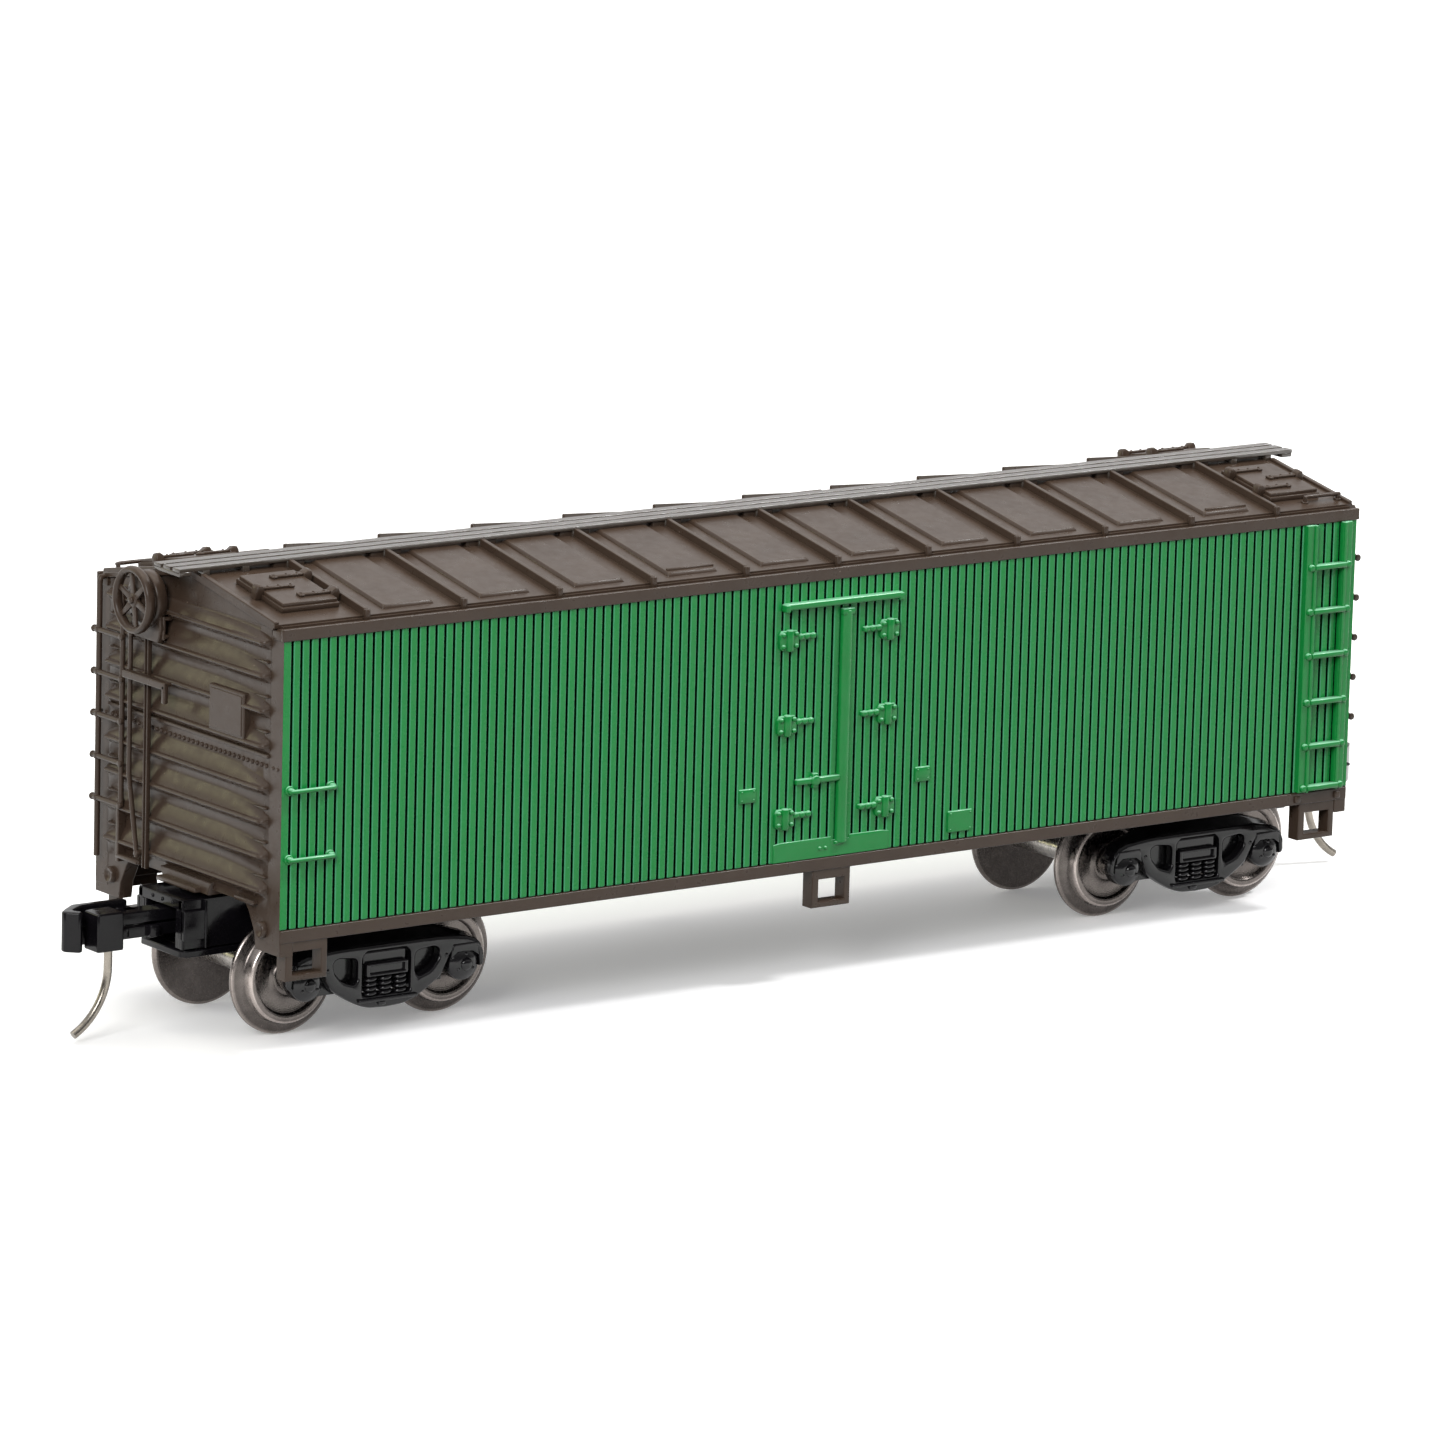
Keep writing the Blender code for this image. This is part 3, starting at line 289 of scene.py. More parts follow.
class Nodes:
    """A material's node tree, with short ways to add to it."""

    def __init__(self, name):
        self.material = bpy.data.materials.new(name)
        self.material.use_nodes = True
        self.tree = self.material.node_tree
        self.shader = self.tree.nodes["Principled BSDF"]
        self.coords = self.tree.nodes.new("ShaderNodeTexCoord").outputs["Object"]

    def node(self, kind, **inputs):
        """A new node with its inputs set; an underscore in an input's name stands for a space."""
        node = self.tree.nodes.new(kind)
        for name, value in inputs.items():
            self.set(node, name.replace("_", " "), value)
        return node

    def set(self, node, name, value):
        """Links a value that is another node's output, and writes any other value into the socket."""
        socket = node.inputs[name]
        if isinstance(value, bpy.types.NodeSocket):
            self.tree.links.new(value, socket)
        else:
            socket.default_value = value

    def noise(self, size, detail=3.0):
        """Noise with features of about `size` millimetres."""
        noise = self.node("ShaderNodeTexNoise", Vector=self.coords, Scale=1 / (size * MM), Detail=detail)
        return noise.outputs["Fac"]

    def split(self, vector):
        """A vector's X, Y and Z."""
        return self.node("ShaderNodeSeparateXYZ", Vector=vector).outputs

    def ramp(self, factor, steps):
        """A colour ramp through steps of (position from 0 to 1, colour)."""
        ramp = self.node("ShaderNodeValToRGB", Fac=factor)
        stops = ramp.color_ramp.elements
        while len(stops) < len(steps):
            stops.new(0.5)
        for stop, (at, color) in zip(stops, steps):
            stop.position = at
            stop.color = (*color, 1.0)
        return ramp.outputs["Color"]

    def between(self, value, low, high, from_low=0.3, from_high=0.7):
        """The value mapped from its own range to low..high."""
        limits = {"From_Min": from_low, "From_Max": from_high, "To_Min": low, "To_Max": high}
        mapped = self.node("ShaderNodeMapRange", Value=value, **limits)
        return mapped.outputs["Result"]

    def mix(self, factor, first, second, blend="MIX"):
        """Two colours mixed by a factor."""
        mix = self.tree.nodes.new("ShaderNodeMix")
        mix.data_type = "RGBA"
        mix.blend_type = blend
        self.set(mix, "Factor", factor)
        for socket, color in ((6, first), (7, second)):
            self.set(mix, socket, (*color, 1.0) if isinstance(color, tuple) else color)
        return mix.outputs[2]

    def math(self, operation, first, second=0.0):
        """The result of a Math node."""
        node = self.tree.nodes.new("ShaderNodeMath")
        node.operation = operation
        self.set(node, 0, first)
        self.set(node, 1, second)
        return node.outputs[0]

    def bump(self, height, strength, depth, under=None):
        """Bump of `depth` millimetres, on top of another bump if one is given."""
        bump = self.node("ShaderNodeBump", Height=height, Strength=strength, Distance=depth * MM)
        if under is not None:
            self.set(bump, "Normal", under)
        return bump.outputs["Normal"]

    def specks(self, spacing, size):
        """Sparse round specks: 1 inside a speck and 0 elsewhere."""
        cells = self.node("ShaderNodeTexVoronoi", Vector=self.coords, Scale=1 / (spacing * MM))
        chosen = self.node("ShaderNodeSeparateColor", Color=cells.outputs["Color"])
        some = self.math("GREATER_THAN", chosen.outputs[0], SPECK_RARITY)
        near = self.math("LESS_THAN", cells.outputs["Distance"], size / spacing)
        return self.math("MULTIPLY", some, near)


def scaled(color, factor):
    return tuple(factor * c for c in color)


def plastic(name, color, light, roughness, dust, shine, depths=None, tops=None):
    """Moulded plastic: faint mottling, a fine grain, and now and then a speck of dust.

    `depths` is (axis, steps), each step (distance from the middle plane in mm, colour): painted shade keeps
    recesses dark and a painted highlight lightens edges, up to the last distance, beyond which the plain
    colour shows.
    `tops` is the paler colour painted on the surfaces that face up, as a highlight.
    """
    nodes = Nodes(name)
    mottle = nodes.between(nodes.noise(size=2.5, detail=4.0), 0.0, 1.0)
    tone = nodes.mix(mottle, color, light)
    pale = tuple(min(1.0, DUST_GAIN * c + DUST_LIFT) for c in light)
    specks = nodes.math("MULTIPLY", nodes.specks(spacing=1.3, size=0.045), dust)
    tone = nodes.mix(specks, tone, pale)
    # Painted shade in the recesses and a painted highlight on the edges, set by the distance from the middle
    # plane.
    if depths is not None:
        axis, steps = depths
        away = nodes.math("ABSOLUTE", nodes.split(nodes.coords)[axis])
        first, last = steps[0][0] * MM, steps[-1][0] * MM
        stops = [((at * MM - first) / (last - first), shade) for at, shade in steps]
        ramp = nodes.ramp(nodes.between(away, 0.0, 1.0, first, last), stops)
        tone = nodes.mix(nodes.math("GREATER_THAN", away, last), ramp, tone)
    # Painted highlight: surfaces that face up are mixed towards the paler colour.
    if tops is not None:
        normal = nodes.tree.nodes.new("ShaderNodeTexCoord").outputs["Normal"]
        facing_up = nodes.between(nodes.split(normal)["Z"], 0.0, 1.0, 0.3, 0.75)
        tone = nodes.mix(facing_up, tone, tops)
    nodes.set(nodes.shader, "Base Color", tone)
    nodes.set(nodes.shader, "Specular IOR Level", shine)
    polish = nodes.between(nodes.noise(size=0.6), *around(roughness, POLISH_SPREAD))
    nodes.set(nodes.shader, "Roughness", polish)
    grain = nodes.bump(nodes.noise(size=0.07, detail=2.0), strength=0.35, depth=0.004)
    waves = nodes.bump(nodes.noise(size=1.6, detail=2.0), strength=0.5, depth=0.012, under=grain)
    nodes.set(nodes.shader, "Normal", waves)
    return nodes.material


def metal(name, color, roughness, bands=()):
    """Turned metal, unevenly blackened; a wheel has `bands` of (radius, tone), some of them painted
    highlights, and fine rings about Y.
    """
    nodes = Nodes(name)
    patches = nodes.between(nodes.noise(size=0.5, detail=4.0), 0.0, 1.0)
    nodes.set(nodes.shader, "Metallic", 1.0)
    polish = nodes.between(nodes.noise(size=0.25), roughness - POLISH_SPREAD, roughness + 0.07)
    nodes.set(nodes.shader, "Roughness", polish)
    grain = nodes.bump(nodes.noise(size=0.05, detail=2.0), strength=0.3, depth=0.003)
    if not bands:
        nodes.set(nodes.shader, "Base Color", nodes.mix(patches, scaled(color, 0.72), color))
        nodes.set(nodes.shader, "Normal", grain)
        return nodes.material
    place = nodes.split(nodes.coords)
    squares = [nodes.math("POWER", place[axis], 2.0) for axis in "XZ"]
    radius = nodes.math("SQRT", nodes.math("ADD", *squares))
    # The bright bands are painted highlights: rings of light at the plate's edge and at the rim.
    reach = bands[-1][0]
    stops = [(at / reach, scaled(color, tone)) for at, tone in bands]
    banded = nodes.ramp(nodes.math("DIVIDE", radius, reach * MM), stops)
    outer = nodes.math("GREATER_THAN", nodes.math("ABSOLUTE", place["Y"]), WHEEL_BACK * MM)
    rim = nodes.math("GREATER_THAN", radius, WHEEL_RIM * MM)
    plain = nodes.mix(rim, scaled(color, 0.42), scaled(color, 0.8))
    worn = nodes.mix(patches, (0.78, 0.78, 0.78), (1.0, 1.0, 1.0))
    face = nodes.mix(1.0, nodes.mix(outer, plain, banded), worn, "MULTIPLY")
    nodes.set(nodes.shader, "Base Color", face)
    rings = nodes.math("SINE", nodes.math("MULTIPLY", radius, 2 * math.pi / (WHEEL_RING * MM)))
    nodes.set(nodes.shader, "Normal", nodes.bump(rings, strength=0.25, depth=0.004, under=grain))
    return nodes.material


# Painted shade and highlight on the sheathing by depth: painted shade from the bottom of a groove, then a
# painted highlight over a board's edge, then the board's face.
GROOVE_BOTTOM_SHADE = (0.0005, 0.006, 0.001)
GROOVE_MID_SHADE = (0.0008, 0.010, 0.002)
GROOVE_SIDE_SHADE = (0.012, 0.16, 0.045)
BOARD_EDGE_HIGHLIGHT = (0.085, 0.42, 0.21)
BOARD_GREEN = (0.016, 0.305, 0.074)
SHEATHING_SHADE_AND_HIGHLIGHT = (
    (9.10, GROOVE_BOTTOM_SHADE),
    (9.27, GROOVE_MID_SHADE),
    (9.305, GROOVE_SIDE_SHADE),
    (9.325, BOARD_EDGE_HIGHLIGHT),
    (9.352, BOARD_EDGE_HIGHLIGHT),
    (9.362, BOARD_GREEN),
)
# The wheel's face: its tone at each radius, from the hub over the plate's edge to the rim; the bands at 1.5
# are painted highlights, a bright ring at the plate's edge and one at the rim.
WHEEL_BANDS = ((0.0, 0.34), (2.0, 0.42), (2.2, 0.52), (2.46, 0.55), (2.52, 1.5), (2.62, 1.5))
WHEEL_BANDS += ((2.7, 0.44), (3.16, 0.34), (3.28, 0.8), (3.4, 1.5))
WHEEL_BACK = 4.06  # distance from the car's middle where a wheel's banded face starts
WHEEL_RIM = 3.2
WHEEL_RING = 0.09  # spacing of the turning marks

BROWN_TONES = ((0.050, 0.032, 0.022), (0.062, 0.041, 0.029))
WALK_TONES = ((0.056, 0.044, 0.034), (0.070, 0.056, 0.045))
GREEN_TONES = ((0.008, 0.262, 0.050), (0.012, 0.292, 0.062))
TRIM_TONES = ((0.007, 0.245, 0.046), (0.010, 0.272, 0.056))
BLACK_TONES = ((0.0055, 0.0052, 0.0062), (0.010, 0.009, 0.011))
COUPLER_TONES = ((0.0040, 0.0038, 0.0046), (0.008, 0.007, 0.009))
# The paler colour painted on the trim's upward-facing surfaces, as a highlight.
TRIM_TOP_HIGHLIGHT = (0.26, 0.62, 0.38)

# Each finish is a material and the name of a CAD slot.
BROWN = plastic("brown_plastic", *BROWN_TONES, 0.32, dust=0.5, shine=0.28), "brown_body"
WALK = plastic("walkway_plastic", *WALK_TONES, 0.18, dust=0.3, shine=0.85), "brown_body"
GREEN = plastic("green_plastic", *GREEN_TONES, 0.26, 0.3, 0.26, ("Y", SHEATHING_SHADE_AND_HIGHLIGHT)), "green_sheathing"
TRIM = plastic("green_trim", *TRIM_TONES, 0.2, dust=0.3, shine=0.28, tops=TRIM_TOP_HIGHLIGHT), "green_sheathing"
BLACK = plastic("black_plastic", *BLACK_TONES, 0.15, dust=0.25, shine=0.42), "black_plastic"
COUPLER_BLACK = plastic("coupler_plastic", *COUPLER_TONES, 0.15, dust=0.25, shine=0.22), "black_plastic"
WHEEL_METAL = metal("blackened_wheel_metal", (0.34, 0.30, 0.28), 0.27, WHEEL_BANDS), "wheel_metal"
AXLE_STEEL = metal("axle_steel", (0.62, 0.59, 0.56), 0.28), "axle_steel"
PIN_STEEL = metal("pin_steel", (0.32, 0.29, 0.25), 0.24), "pin_steel"
# These two only go on CAD nodes that stay.
WEIGHT_STEEL = metal("weight_steel", (0.45, 0.45, 0.46), 0.42)
SPRING_STEEL = metal("spring_steel", (0.5, 0.5, 0.5), 0.3)


# ---------------------------------------------------------------- body

END_FACE = 37.7
HALF_WIDTH = 9.45
SILL_LOW, SILL_HIGH = 6.6, 7.3
RIM_TOP = 24.08
RIM_LOW = 23.4
RIDGE = 25.87
SLOPE = 0.19
TILT = math.atan(SLOPE)
EAVE = 8.7
BAY = 6.4  # length of one roof panel
RIB_STATIONS = [BAY * k for k in range(-5, 6)]
PANEL_STATIONS = [BAY * (k + 0.5) for k in range(-5, 5)]

RIB_ROWS = (23.1, 21.25, 19.3, 17.35, 15.0, 13.15, 11.2, 9.28)
RIB_REACH = 8.15  # half the width of the pressed end panels
RIB_PROUD = 0.52
RIB_NOSE = 0.16
RIB_SLOPES = (0.62, 0.92, 0.92, 0.92, 0.86, 0.92, 0.92, 0.92)
NOSE_SECTION = ((0.8, 0.84), (0.45, 0.97), (0.0, 1.0), (-0.35, 0.95), (-0.6, 0.82), (-1.3, 0.5), (-2.1, 0.16))
PANEL_TOP, PANEL_BOTTOM = 23.95, 8.3
SEAM = 16.75  # height of the seam between the end's two panels


def roof_z(y):
    return RIDGE - SLOPE * abs(y)


def end_columns():
    """Stations across the end, closer together where the ribs run out."""
    flat = 7.0
    out = [flat * k / 16 for k in range(17)] + [flat + (RIB_REACH - flat) * k / 12 for k in range(1, 13)]
    return [-y for y in reversed(out[1:])] + out


def run_out(y, start, full):
    """A size that is full up to `start` from the middle and rounds down to nothing at the corner."""
    along = max(0.0, abs(y) - start) / (RIB_REACH - start)
    return full * math.sqrt(max(0.0, 1 - along * along))


def end_profile(y):
    """The pressed end's section at a station, from top to bottom, as (z, depth)."""
    rows = [(PANEL_TOP, 0.0)]
    depth = run_out(y, RIB_REACH - 0.42, RIB_PROUD)
    for z, height in zip(RIB_ROWS, RIB_SLOPES):
        slope = run_out(y, 2.6, height)
        for t in (0.0, 0.12, 0.35, 0.6, 0.85, 1.0):
            bow = 0.66 * t + 0.08 * math.sin(math.pi * t)
            rows.append((z + RIB_NOSE + slope * (1 - t), depth * bow))
        for lift, out in NOSE_SECTION:
            rows.append((z + RIB_NOSE * lift, depth * out))
        rows.append((z - RIB_NOSE * 2.6, 0.0))
    rows.append((PANEL_BOTTOM, 0.0))
    return rows


def closed_sheet(lines, axis, back):
    """A sheet through lines of points, made a closed plate by a flat back at `back` along an axis."""
    part = bmesh.new()
    lines = [[part.verts.new(point) for point in line] for line in lines]
    for first, second in zip(lines, lines[1:]):
        for k in range(len(first) - 1):
            part.faces.new((first[k], first[k + 1], second[k + 1], second[k]))
    rim = [edge for edge in part.edges if edge.is_boundary]
    for item in bmesh.ops.extrude_edge_only(part, edges=rim)["geom"]:
        if isinstance(item, bmesh.types.BMVert):
            item.co[axis] = back
    bmesh.ops.contextual_create(part, geom=[edge for edge in part.edges if edge.is_boundary])
    return part


def pressed_end():
    """The B end's sheet as a closed plate whose outer face carries the ribs."""
    columns = [[(-END_FACE - depth, y, z) for z, depth in end_profile(y)] for y in end_columns()]
    return closed_sheet(columns, 0, -END_FACE + 0.5)


def b_end():
    """Everything brown that the B end carries on its wall, apart from the brake gear and the ladder."""
    end = Shape()
    wall, inside = -END_FACE, -END_FACE + 0.9
    outwards = (-1, 0, 0)
    leg = [(9.41, 7.25), (9.41, 5.85), (6.95, 5.85), (6.8, 6.8), (6.2, 7.9), (5.8, 8.3), (5.8, 8.8)]
    leg += [(8.8, 8.8), (8.8, 7.25)]
    pocket = [(0, 0.16), (0.2, 0.17), (0.26, 0.24), (0.4, 0.26), (0.47, 0.18), (0.47, -0.1), (0, -0.1)]
    for side in (-1, 1):
        end.box((wall, wall + 0.06), (side * 8.1, side * 9.36), (6.4, 23.6), 0.02)
        end.box((wall + 0.04, inside), (side * 8.1, side * 9.1), (6.5, 24.0), 0.04)
        end.plate([flipped(leg, side)], "X", (wall + 0.02, inside))
        end.turn(pocket, sides=24, matrix=Matrix.Translation((wall, side * 7.7, 7.1)) @ TOWARDS_B)
        for upper, lower in zip(RIB_ROWS, RIB_ROWS[1:]):
            if upper - lower > 2:
                continue
            z = upper - 0.6 * (upper - lower)
            dart = [(6.6, z), (7.9, z + 0.1), (8.08, z + 0.02), (7.9, z - 0.08)]
            end.plate([flipped(dart, side)], "X", (wall - 0.14, wall + 0.2), 0.05)
        for y in (8.5, 8.95):
            end.dome((wall, side * y, SEAM - 0.5), outwards, 0.11, 0.08)
    eave = EAVE + 0.02
    under_roof = roof_z(eave) - 0.36
    gable = [(-eave, 23.6), (-eave, under_roof), (0, RIDGE - 0.36), (eave, under_roof), (eave, 23.6)]
    end.plate([gable], "X", (wall + 0.02, inside))
    end.box((wall - 0.15, inside), (-8.12, 8.12), (SEAM - 0.04, SEAM + 0.18), 0.06)
    for k in range(-17, 18):
        end.dome((wall, 0.46 * k, SEAM - 0.5), outwards, 0.14, 0.13)
    end.box((wall - 0.47, inside), (-6.2, -2.7), (17.4, 20.0), 0.1)
    end.box((wall - 0.52, inside), (-6.02, -2.88), (17.58, 19.82), 0.05)
    lip = [(-2.9, 8.75), (-2.6, 8.0), (-1.95, 8.0), (1.95, 8.0), (2.2, 8.75)]
    end.plate([lip], "X", (wall - 0.3, inside))
    end.box((wall - 0.74, inside), (-1.95, 1.98), (8.02, 8.32), 0.09)
    end.box((wall - 0.34, inside), (-7.2, -5.3), (8.36, 8.62), 0.07)
    end.box((wall - 0.48, inside), (4.2, 6.5), (8.36, 8.62), 0.07)
    for y in (-6.9, -5.6, 4.5, 6.2):
        end.dome((wall, y, 8.95), outwards, 0.12, 0.09)
    return end


def body_sides():
    """The near side's brown sill, rim and steps, and half of the hull behind them."""
    side = Shape()
    side.box(around(0, END_FACE - 0.02), (-HALF_WIDTH, -8.4), (SILL_LOW, SILL_HIGH + 0.03), 0.07)
    side.box(around(0, 37.5), (-8.9, -8.3), (7.2, 24.12), 0)
    side.box(around(0, 37.82), (-9.47, -9.2), (RIM_LOW, RIM_TOP), 0.06)
    side.box(around(0, 37.8), (-9.3, -8.35), (RIM_LOW + 0.02, RIM_TOP - 0.16), 0.02)
    low, high = 4.42, SILL_LOW + 0.1
    for left, right in ((-37.25, -34.53), (-1.54, 1.14), (34.16, 36.84)):
        hole = rectangle(left + 0.46, right - 0.4, low + 0.34, 6.05)
        side.plate([rectangle(left, right, low, high), hole], "Y", (-9.37, -8.42), 0.07)
    for x in (33.9, 36.9):
        side.box(around(x, 0.2), (-9.6, -9.3), (6.75, 7.15), 0.06)
    return side


body = Shape()
for turn in ENDS.values():
    body.include(b_end(), turn)
    body.include(body_sides(), turn)
piece("car_body", body, BROWN, "car", ["body_shell"])
for end, turn in ENDS.items():
    panel_end = Shape()
    panel_end.add(pressed_end(), turn)
    piece(f"end_panel_{end}", panel_end, BROWN, "car")


# ---------------------------------------------------------------- roof

HALF_ROOF = 37.9
ROOF_SIDES = {
    side: Matrix.Translation((0, 0, RIDGE)) @ Matrix.Rotation(-side * TILT, 4, "X") for side in (-1, 1)
}


def on_slope(y):
    """A distance across the roof turned into a distance along its slope."""
    return y / math.cos(TILT)


def soft_pad(shape, x, y, height, soft, matrix):
    """A raised pad with rounded, sloping sides, standing on z = 0 of its own frame."""
    part = bmesh.new()
    rings = []
    (x0, x1), (y0, y1) = sorted(x), sorted(y)
    for inset, level in ((0, -0.1), (0, 0.0), (0.55, 0.5), (0.95, 0.9), (1.1, 0.98), (1.25, 1.0)):
        a, z = inset * soft, level * height
        corner = 0.12 + 0.5 * a
        loop = []
        for cx, cy, start in ((x1, y1, 0), (x0, y1, 90), (x0, y0, 180), (x1, y0, 270)):
            sx, sy = (1 if cx == x1 else -1), (1 if cy == y1 else -1)
            for step in (0, 30, 60, 90):
                angle = math.radians(start + step)
                px = cx - sx * (a + corner) + corner * math.cos(angle)
                py = cy - sy * (a + corner) + corner * math.sin(angle)
                loop.append(part.verts.new((px, py, z)))
        rings.append(loop)
    join_rings(part, rings)
    shape.add(part, matrix)


roof = Shape()
for side, slope in ROOF_SIDES.items():
    sheet = [(0, -0.35), (0, 0), (side * on_slope(EAVE - 0.02), 0), (side * on_slope(EAVE), -0.03)]
    inner_lip = side * on_slope(EAVE - 0.12)
    sheet += [(side * on_slope(EAVE), -0.2), (inner_lip, -0.22), (inner_lip, -0.35)]
    roof.plate([sheet], "X", around(0, HALF_ROOF), 0.03, slope)
    for x in RIB_STATIONS:
        roof.box(around(x, 0.14), (side * 1.1, side * on_slope(8.7)), (-0.1, 0.42), 0.05, slope)
        roof.rod("Z", 0.19, (RIM_TOP - 0.17, 24.6), (x, side * 8.86), 0.06, 20)
    for x in PANEL_STATIONS:
        across = (side * on_slope(0.95), side * on_slope(8.16))
        soft_pad(roof, around(x, 1.72), across, 0.19, 0.13, slope)
    for end in (-1, 1):
        across = (side * 1.3, side * on_slope(8.66))
        roof.box((end * 37.58, end * HALF_ROOF), across, (-0.1, 0.16), 0.06, slope)
for turn in ENDS.values():
    near = turn @ ROOF_SIDES[-1]
    y = -on_slope(7.82)
    for x in (34.95, 37.42):
        roof.rod("Z", 0.13, (-0.1, 0.36), (x, y), 0.05, 12, near)
        roof.rod("Z", 0.24, (-0.05, 0.1), (x, y), 0.04, 14, near)
    roof.tube([(34.83, y, 0.32), (35.1, y, 0.36), (37.27, y, 0.36), (37.54, y, 0.32)], 0.12, near)
    for x0, x1, bar_y in ((-11.1, -7.9, 7.65), (27.5, 30.5, 7.7)):
        roof.box((x0, x1), around(-on_slope(bar_y), 0.11), (0.0, 0.3), 0.07, near)
walk = Shape()
BOARD, BOARD_GAP = 0.69, 0.25
for k in (-1, 0, 1):
    walk.box(around(0, 39.3), around(k * (BOARD + BOARD_GAP), BOARD / 2), (25.94, 26.15), 0.03)
for x in RIB_STATIONS + [end * at for end in (-1, 1) for at in (34.9, 37.5)]:
    walk.box(around(x, 0.22), around(0, 1.28), (25.6, 25.97), 0.05)
for x in RIB_STATIONS:
    roof.box(around(x, 1.0), around(0, 1.16), (25.45, 25.93), 0.04)
for end in (-1, 1):
    walk.box((end * 38.5, end * 39.28), around(0, 1.29), (25.7, 25.97), 0.06)
piece("roof_sheet", roof, BROWN, "car", ["roof"])
piece("walkway", walk, WALK, "car", ["running_board"])


def ice_hatch():
    """A hatch in its own frame: on z = 0, with its two hinges at +X and its latch at -X."""
    hatch = Shape()
    hatch.box(around(0, 1.88), around(0, 2.35), (0.0, 0.3), 0.05)
    hatch.box(around(0, 1.78), around(0, 2.22), (0.2, 0.5), 0.06)
    for side, y, outer in ((1, -1.38, 2.3), (1, 1.38, 2.3), (-1, 0.0, 2.25)):
        knuckle = [(1.72, 0.0), (outer, 0.0), (outer, 0.62), (outer - 0.1, 0.8), (outer - 0.3, 0.84)]
        knuckle += [(1.72, 0.66)]
        hatch.plate([flipped(knuckle, side)], "Y", around(y, 0.28), 0.08)
        hatch.box((side * -0.2, side * 1.85), around(y, 0.17), (0.5, 0.66), 0.05)
        hatch.box((side * -0.28, side * 0.05), around(y, 0.23), (0.5, 0.64), 0.05)
        for x in (-0.1, 0.7, 1.4):
            hatch.dome((side * x, y, 0.655), (0, 0, 1), 0.08, 0.06)
    return hatch


HATCH_X, HATCH_Y = 34.62, 4.95
for end, x in (("b", -HATCH_X), ("a", HATCH_X)):
    for side_name, side in (("near", -1), ("far", 1)):
        place = Matrix.Translation((x, side * HATCH_Y, roof_z(HATCH_Y)))
        place = place @ Matrix.Rotation(-side * TILT, 4, "X") @ ENDS[end]
        spot = f"{end}_{side_name}"
        piece(f"hatch_{spot}", moved(ice_hatch(), place), BROWN, "car", [f"ice_hatch_{spot}"])


# ---------------------------------------------------------------- sides

BOARD_PITCH = 0.589
BOARD_COUNT = 128
BOARD_FACE = -9.37
BOARDS_FROM = -BOARD_PITCH * BOARD_COUNT / 2 - 0.01
PANEL_HALF = 37.69
GROOVE = 0.075  # half the width of a groove between boards
PANEL_LOW, PANEL_HIGH = 7.33, 23.38


def board_section(sunk):
    """The near side's sheathing in plan: rounded boards with a narrow groove between each two."""
    groove = BOARD_FACE + 0.34
    face = BOARD_FACE + sunk
    corner = [(GROOVE + 0.1, 0.0), (GROOVE + 0.045, 0.014), (GROOVE + 0.012, 0.045), (GROOVE, 0.1)]
    points = [(-PANEL_HALF, face)]
    for k in range(1, BOARD_COUNT):
        x = BOARDS_FROM + BOARD_PITCH * k
        if not -PANEL_HALF + 0.2 < x < PANEL_HALF - 0.2:
            continue
        points += [(x - away, face + deep) for away, deep in corner]
        points += [(x - GROOVE + 0.015, groove), (x + GROOVE - 0.015, groove)]
        points += [(x + away, face + deep) for away, deep in reversed(corner)]
    points.append((PANEL_HALF, face))
    return points


def sheathing():
    """The near side's boards, a little sunk at their feet."""
    foot = ((PANEL_LOW, 0.1), (PANEL_LOW + 0.03, 0.04), (PANEL_LOW + 0.1, 0.0), (PANEL_HIGH, 0.0))
    shape = Shape()
    shape.add(closed_sheet([[(x, y, z) for x, y in board_section(sunk)] for z, sunk in foot], 1, -8.92))
    return shape


def proud(height):
    """From `height` in front of the boards to a little behind their faces."""
    return BOARD_FACE - height, BOARD_FACE + 0.1


def rivets(shape, spots, height, radius, rise, sides=10):
    """Heads at (x, z) spots on a face that is `height` in front of the boards."""
    for x, z in spots:
        shape.dome((x, BOARD_FACE - height, z), (0, -1, 0), radius, rise, sides)


HINGE_ROWS = (20.2, 15.3, 9.9)
HINGE_LEFT, HINGE_RIGHT = -3.75, 3.33
RUNG_ROWS = (20.86, 18.21, 15.56, 12.78, 10.12, 7.62)
GRAB_ROWS = (15.1, 11.27)


def hinge(shape, x, z, towards):
    """A door hinge: a bolted plate, its barrel, and a strap towards the middle of its door."""
    ear = [(-0.66, -0.4), (-0.5, -0.56), (0.5, -0.56), (0.66, -0.4), (0.66, 0.34), (0.48, 0.56)]
    ear += [(-0.48, 0.56), (-0.66, 0.34)]
    shape.plate([shifted(ear, x, z)], "Y", proud(0.2), 0.06)
    shape.rod("Z", 0.24, around(z, 0.62), (x, BOARD_FACE - 0.17), 0.08, 16)
    bolts = [(x + a, z + b) for a in (-0.45, 0.45) for b in (-0.34, 0.34)]
    rivets(shape, bolts, 0.2, 0.15, 0.14)
    shape.box((x + towards * 0.55, x + towards * 1.86), proud(0.2), (z, z + 0.28), 0.06)
    rivets(shape, [(x + towards * reach, z + 0.14) for reach in (0.8, 1.22, 1.64)], 0.17, 0.2, 0.14, 14)


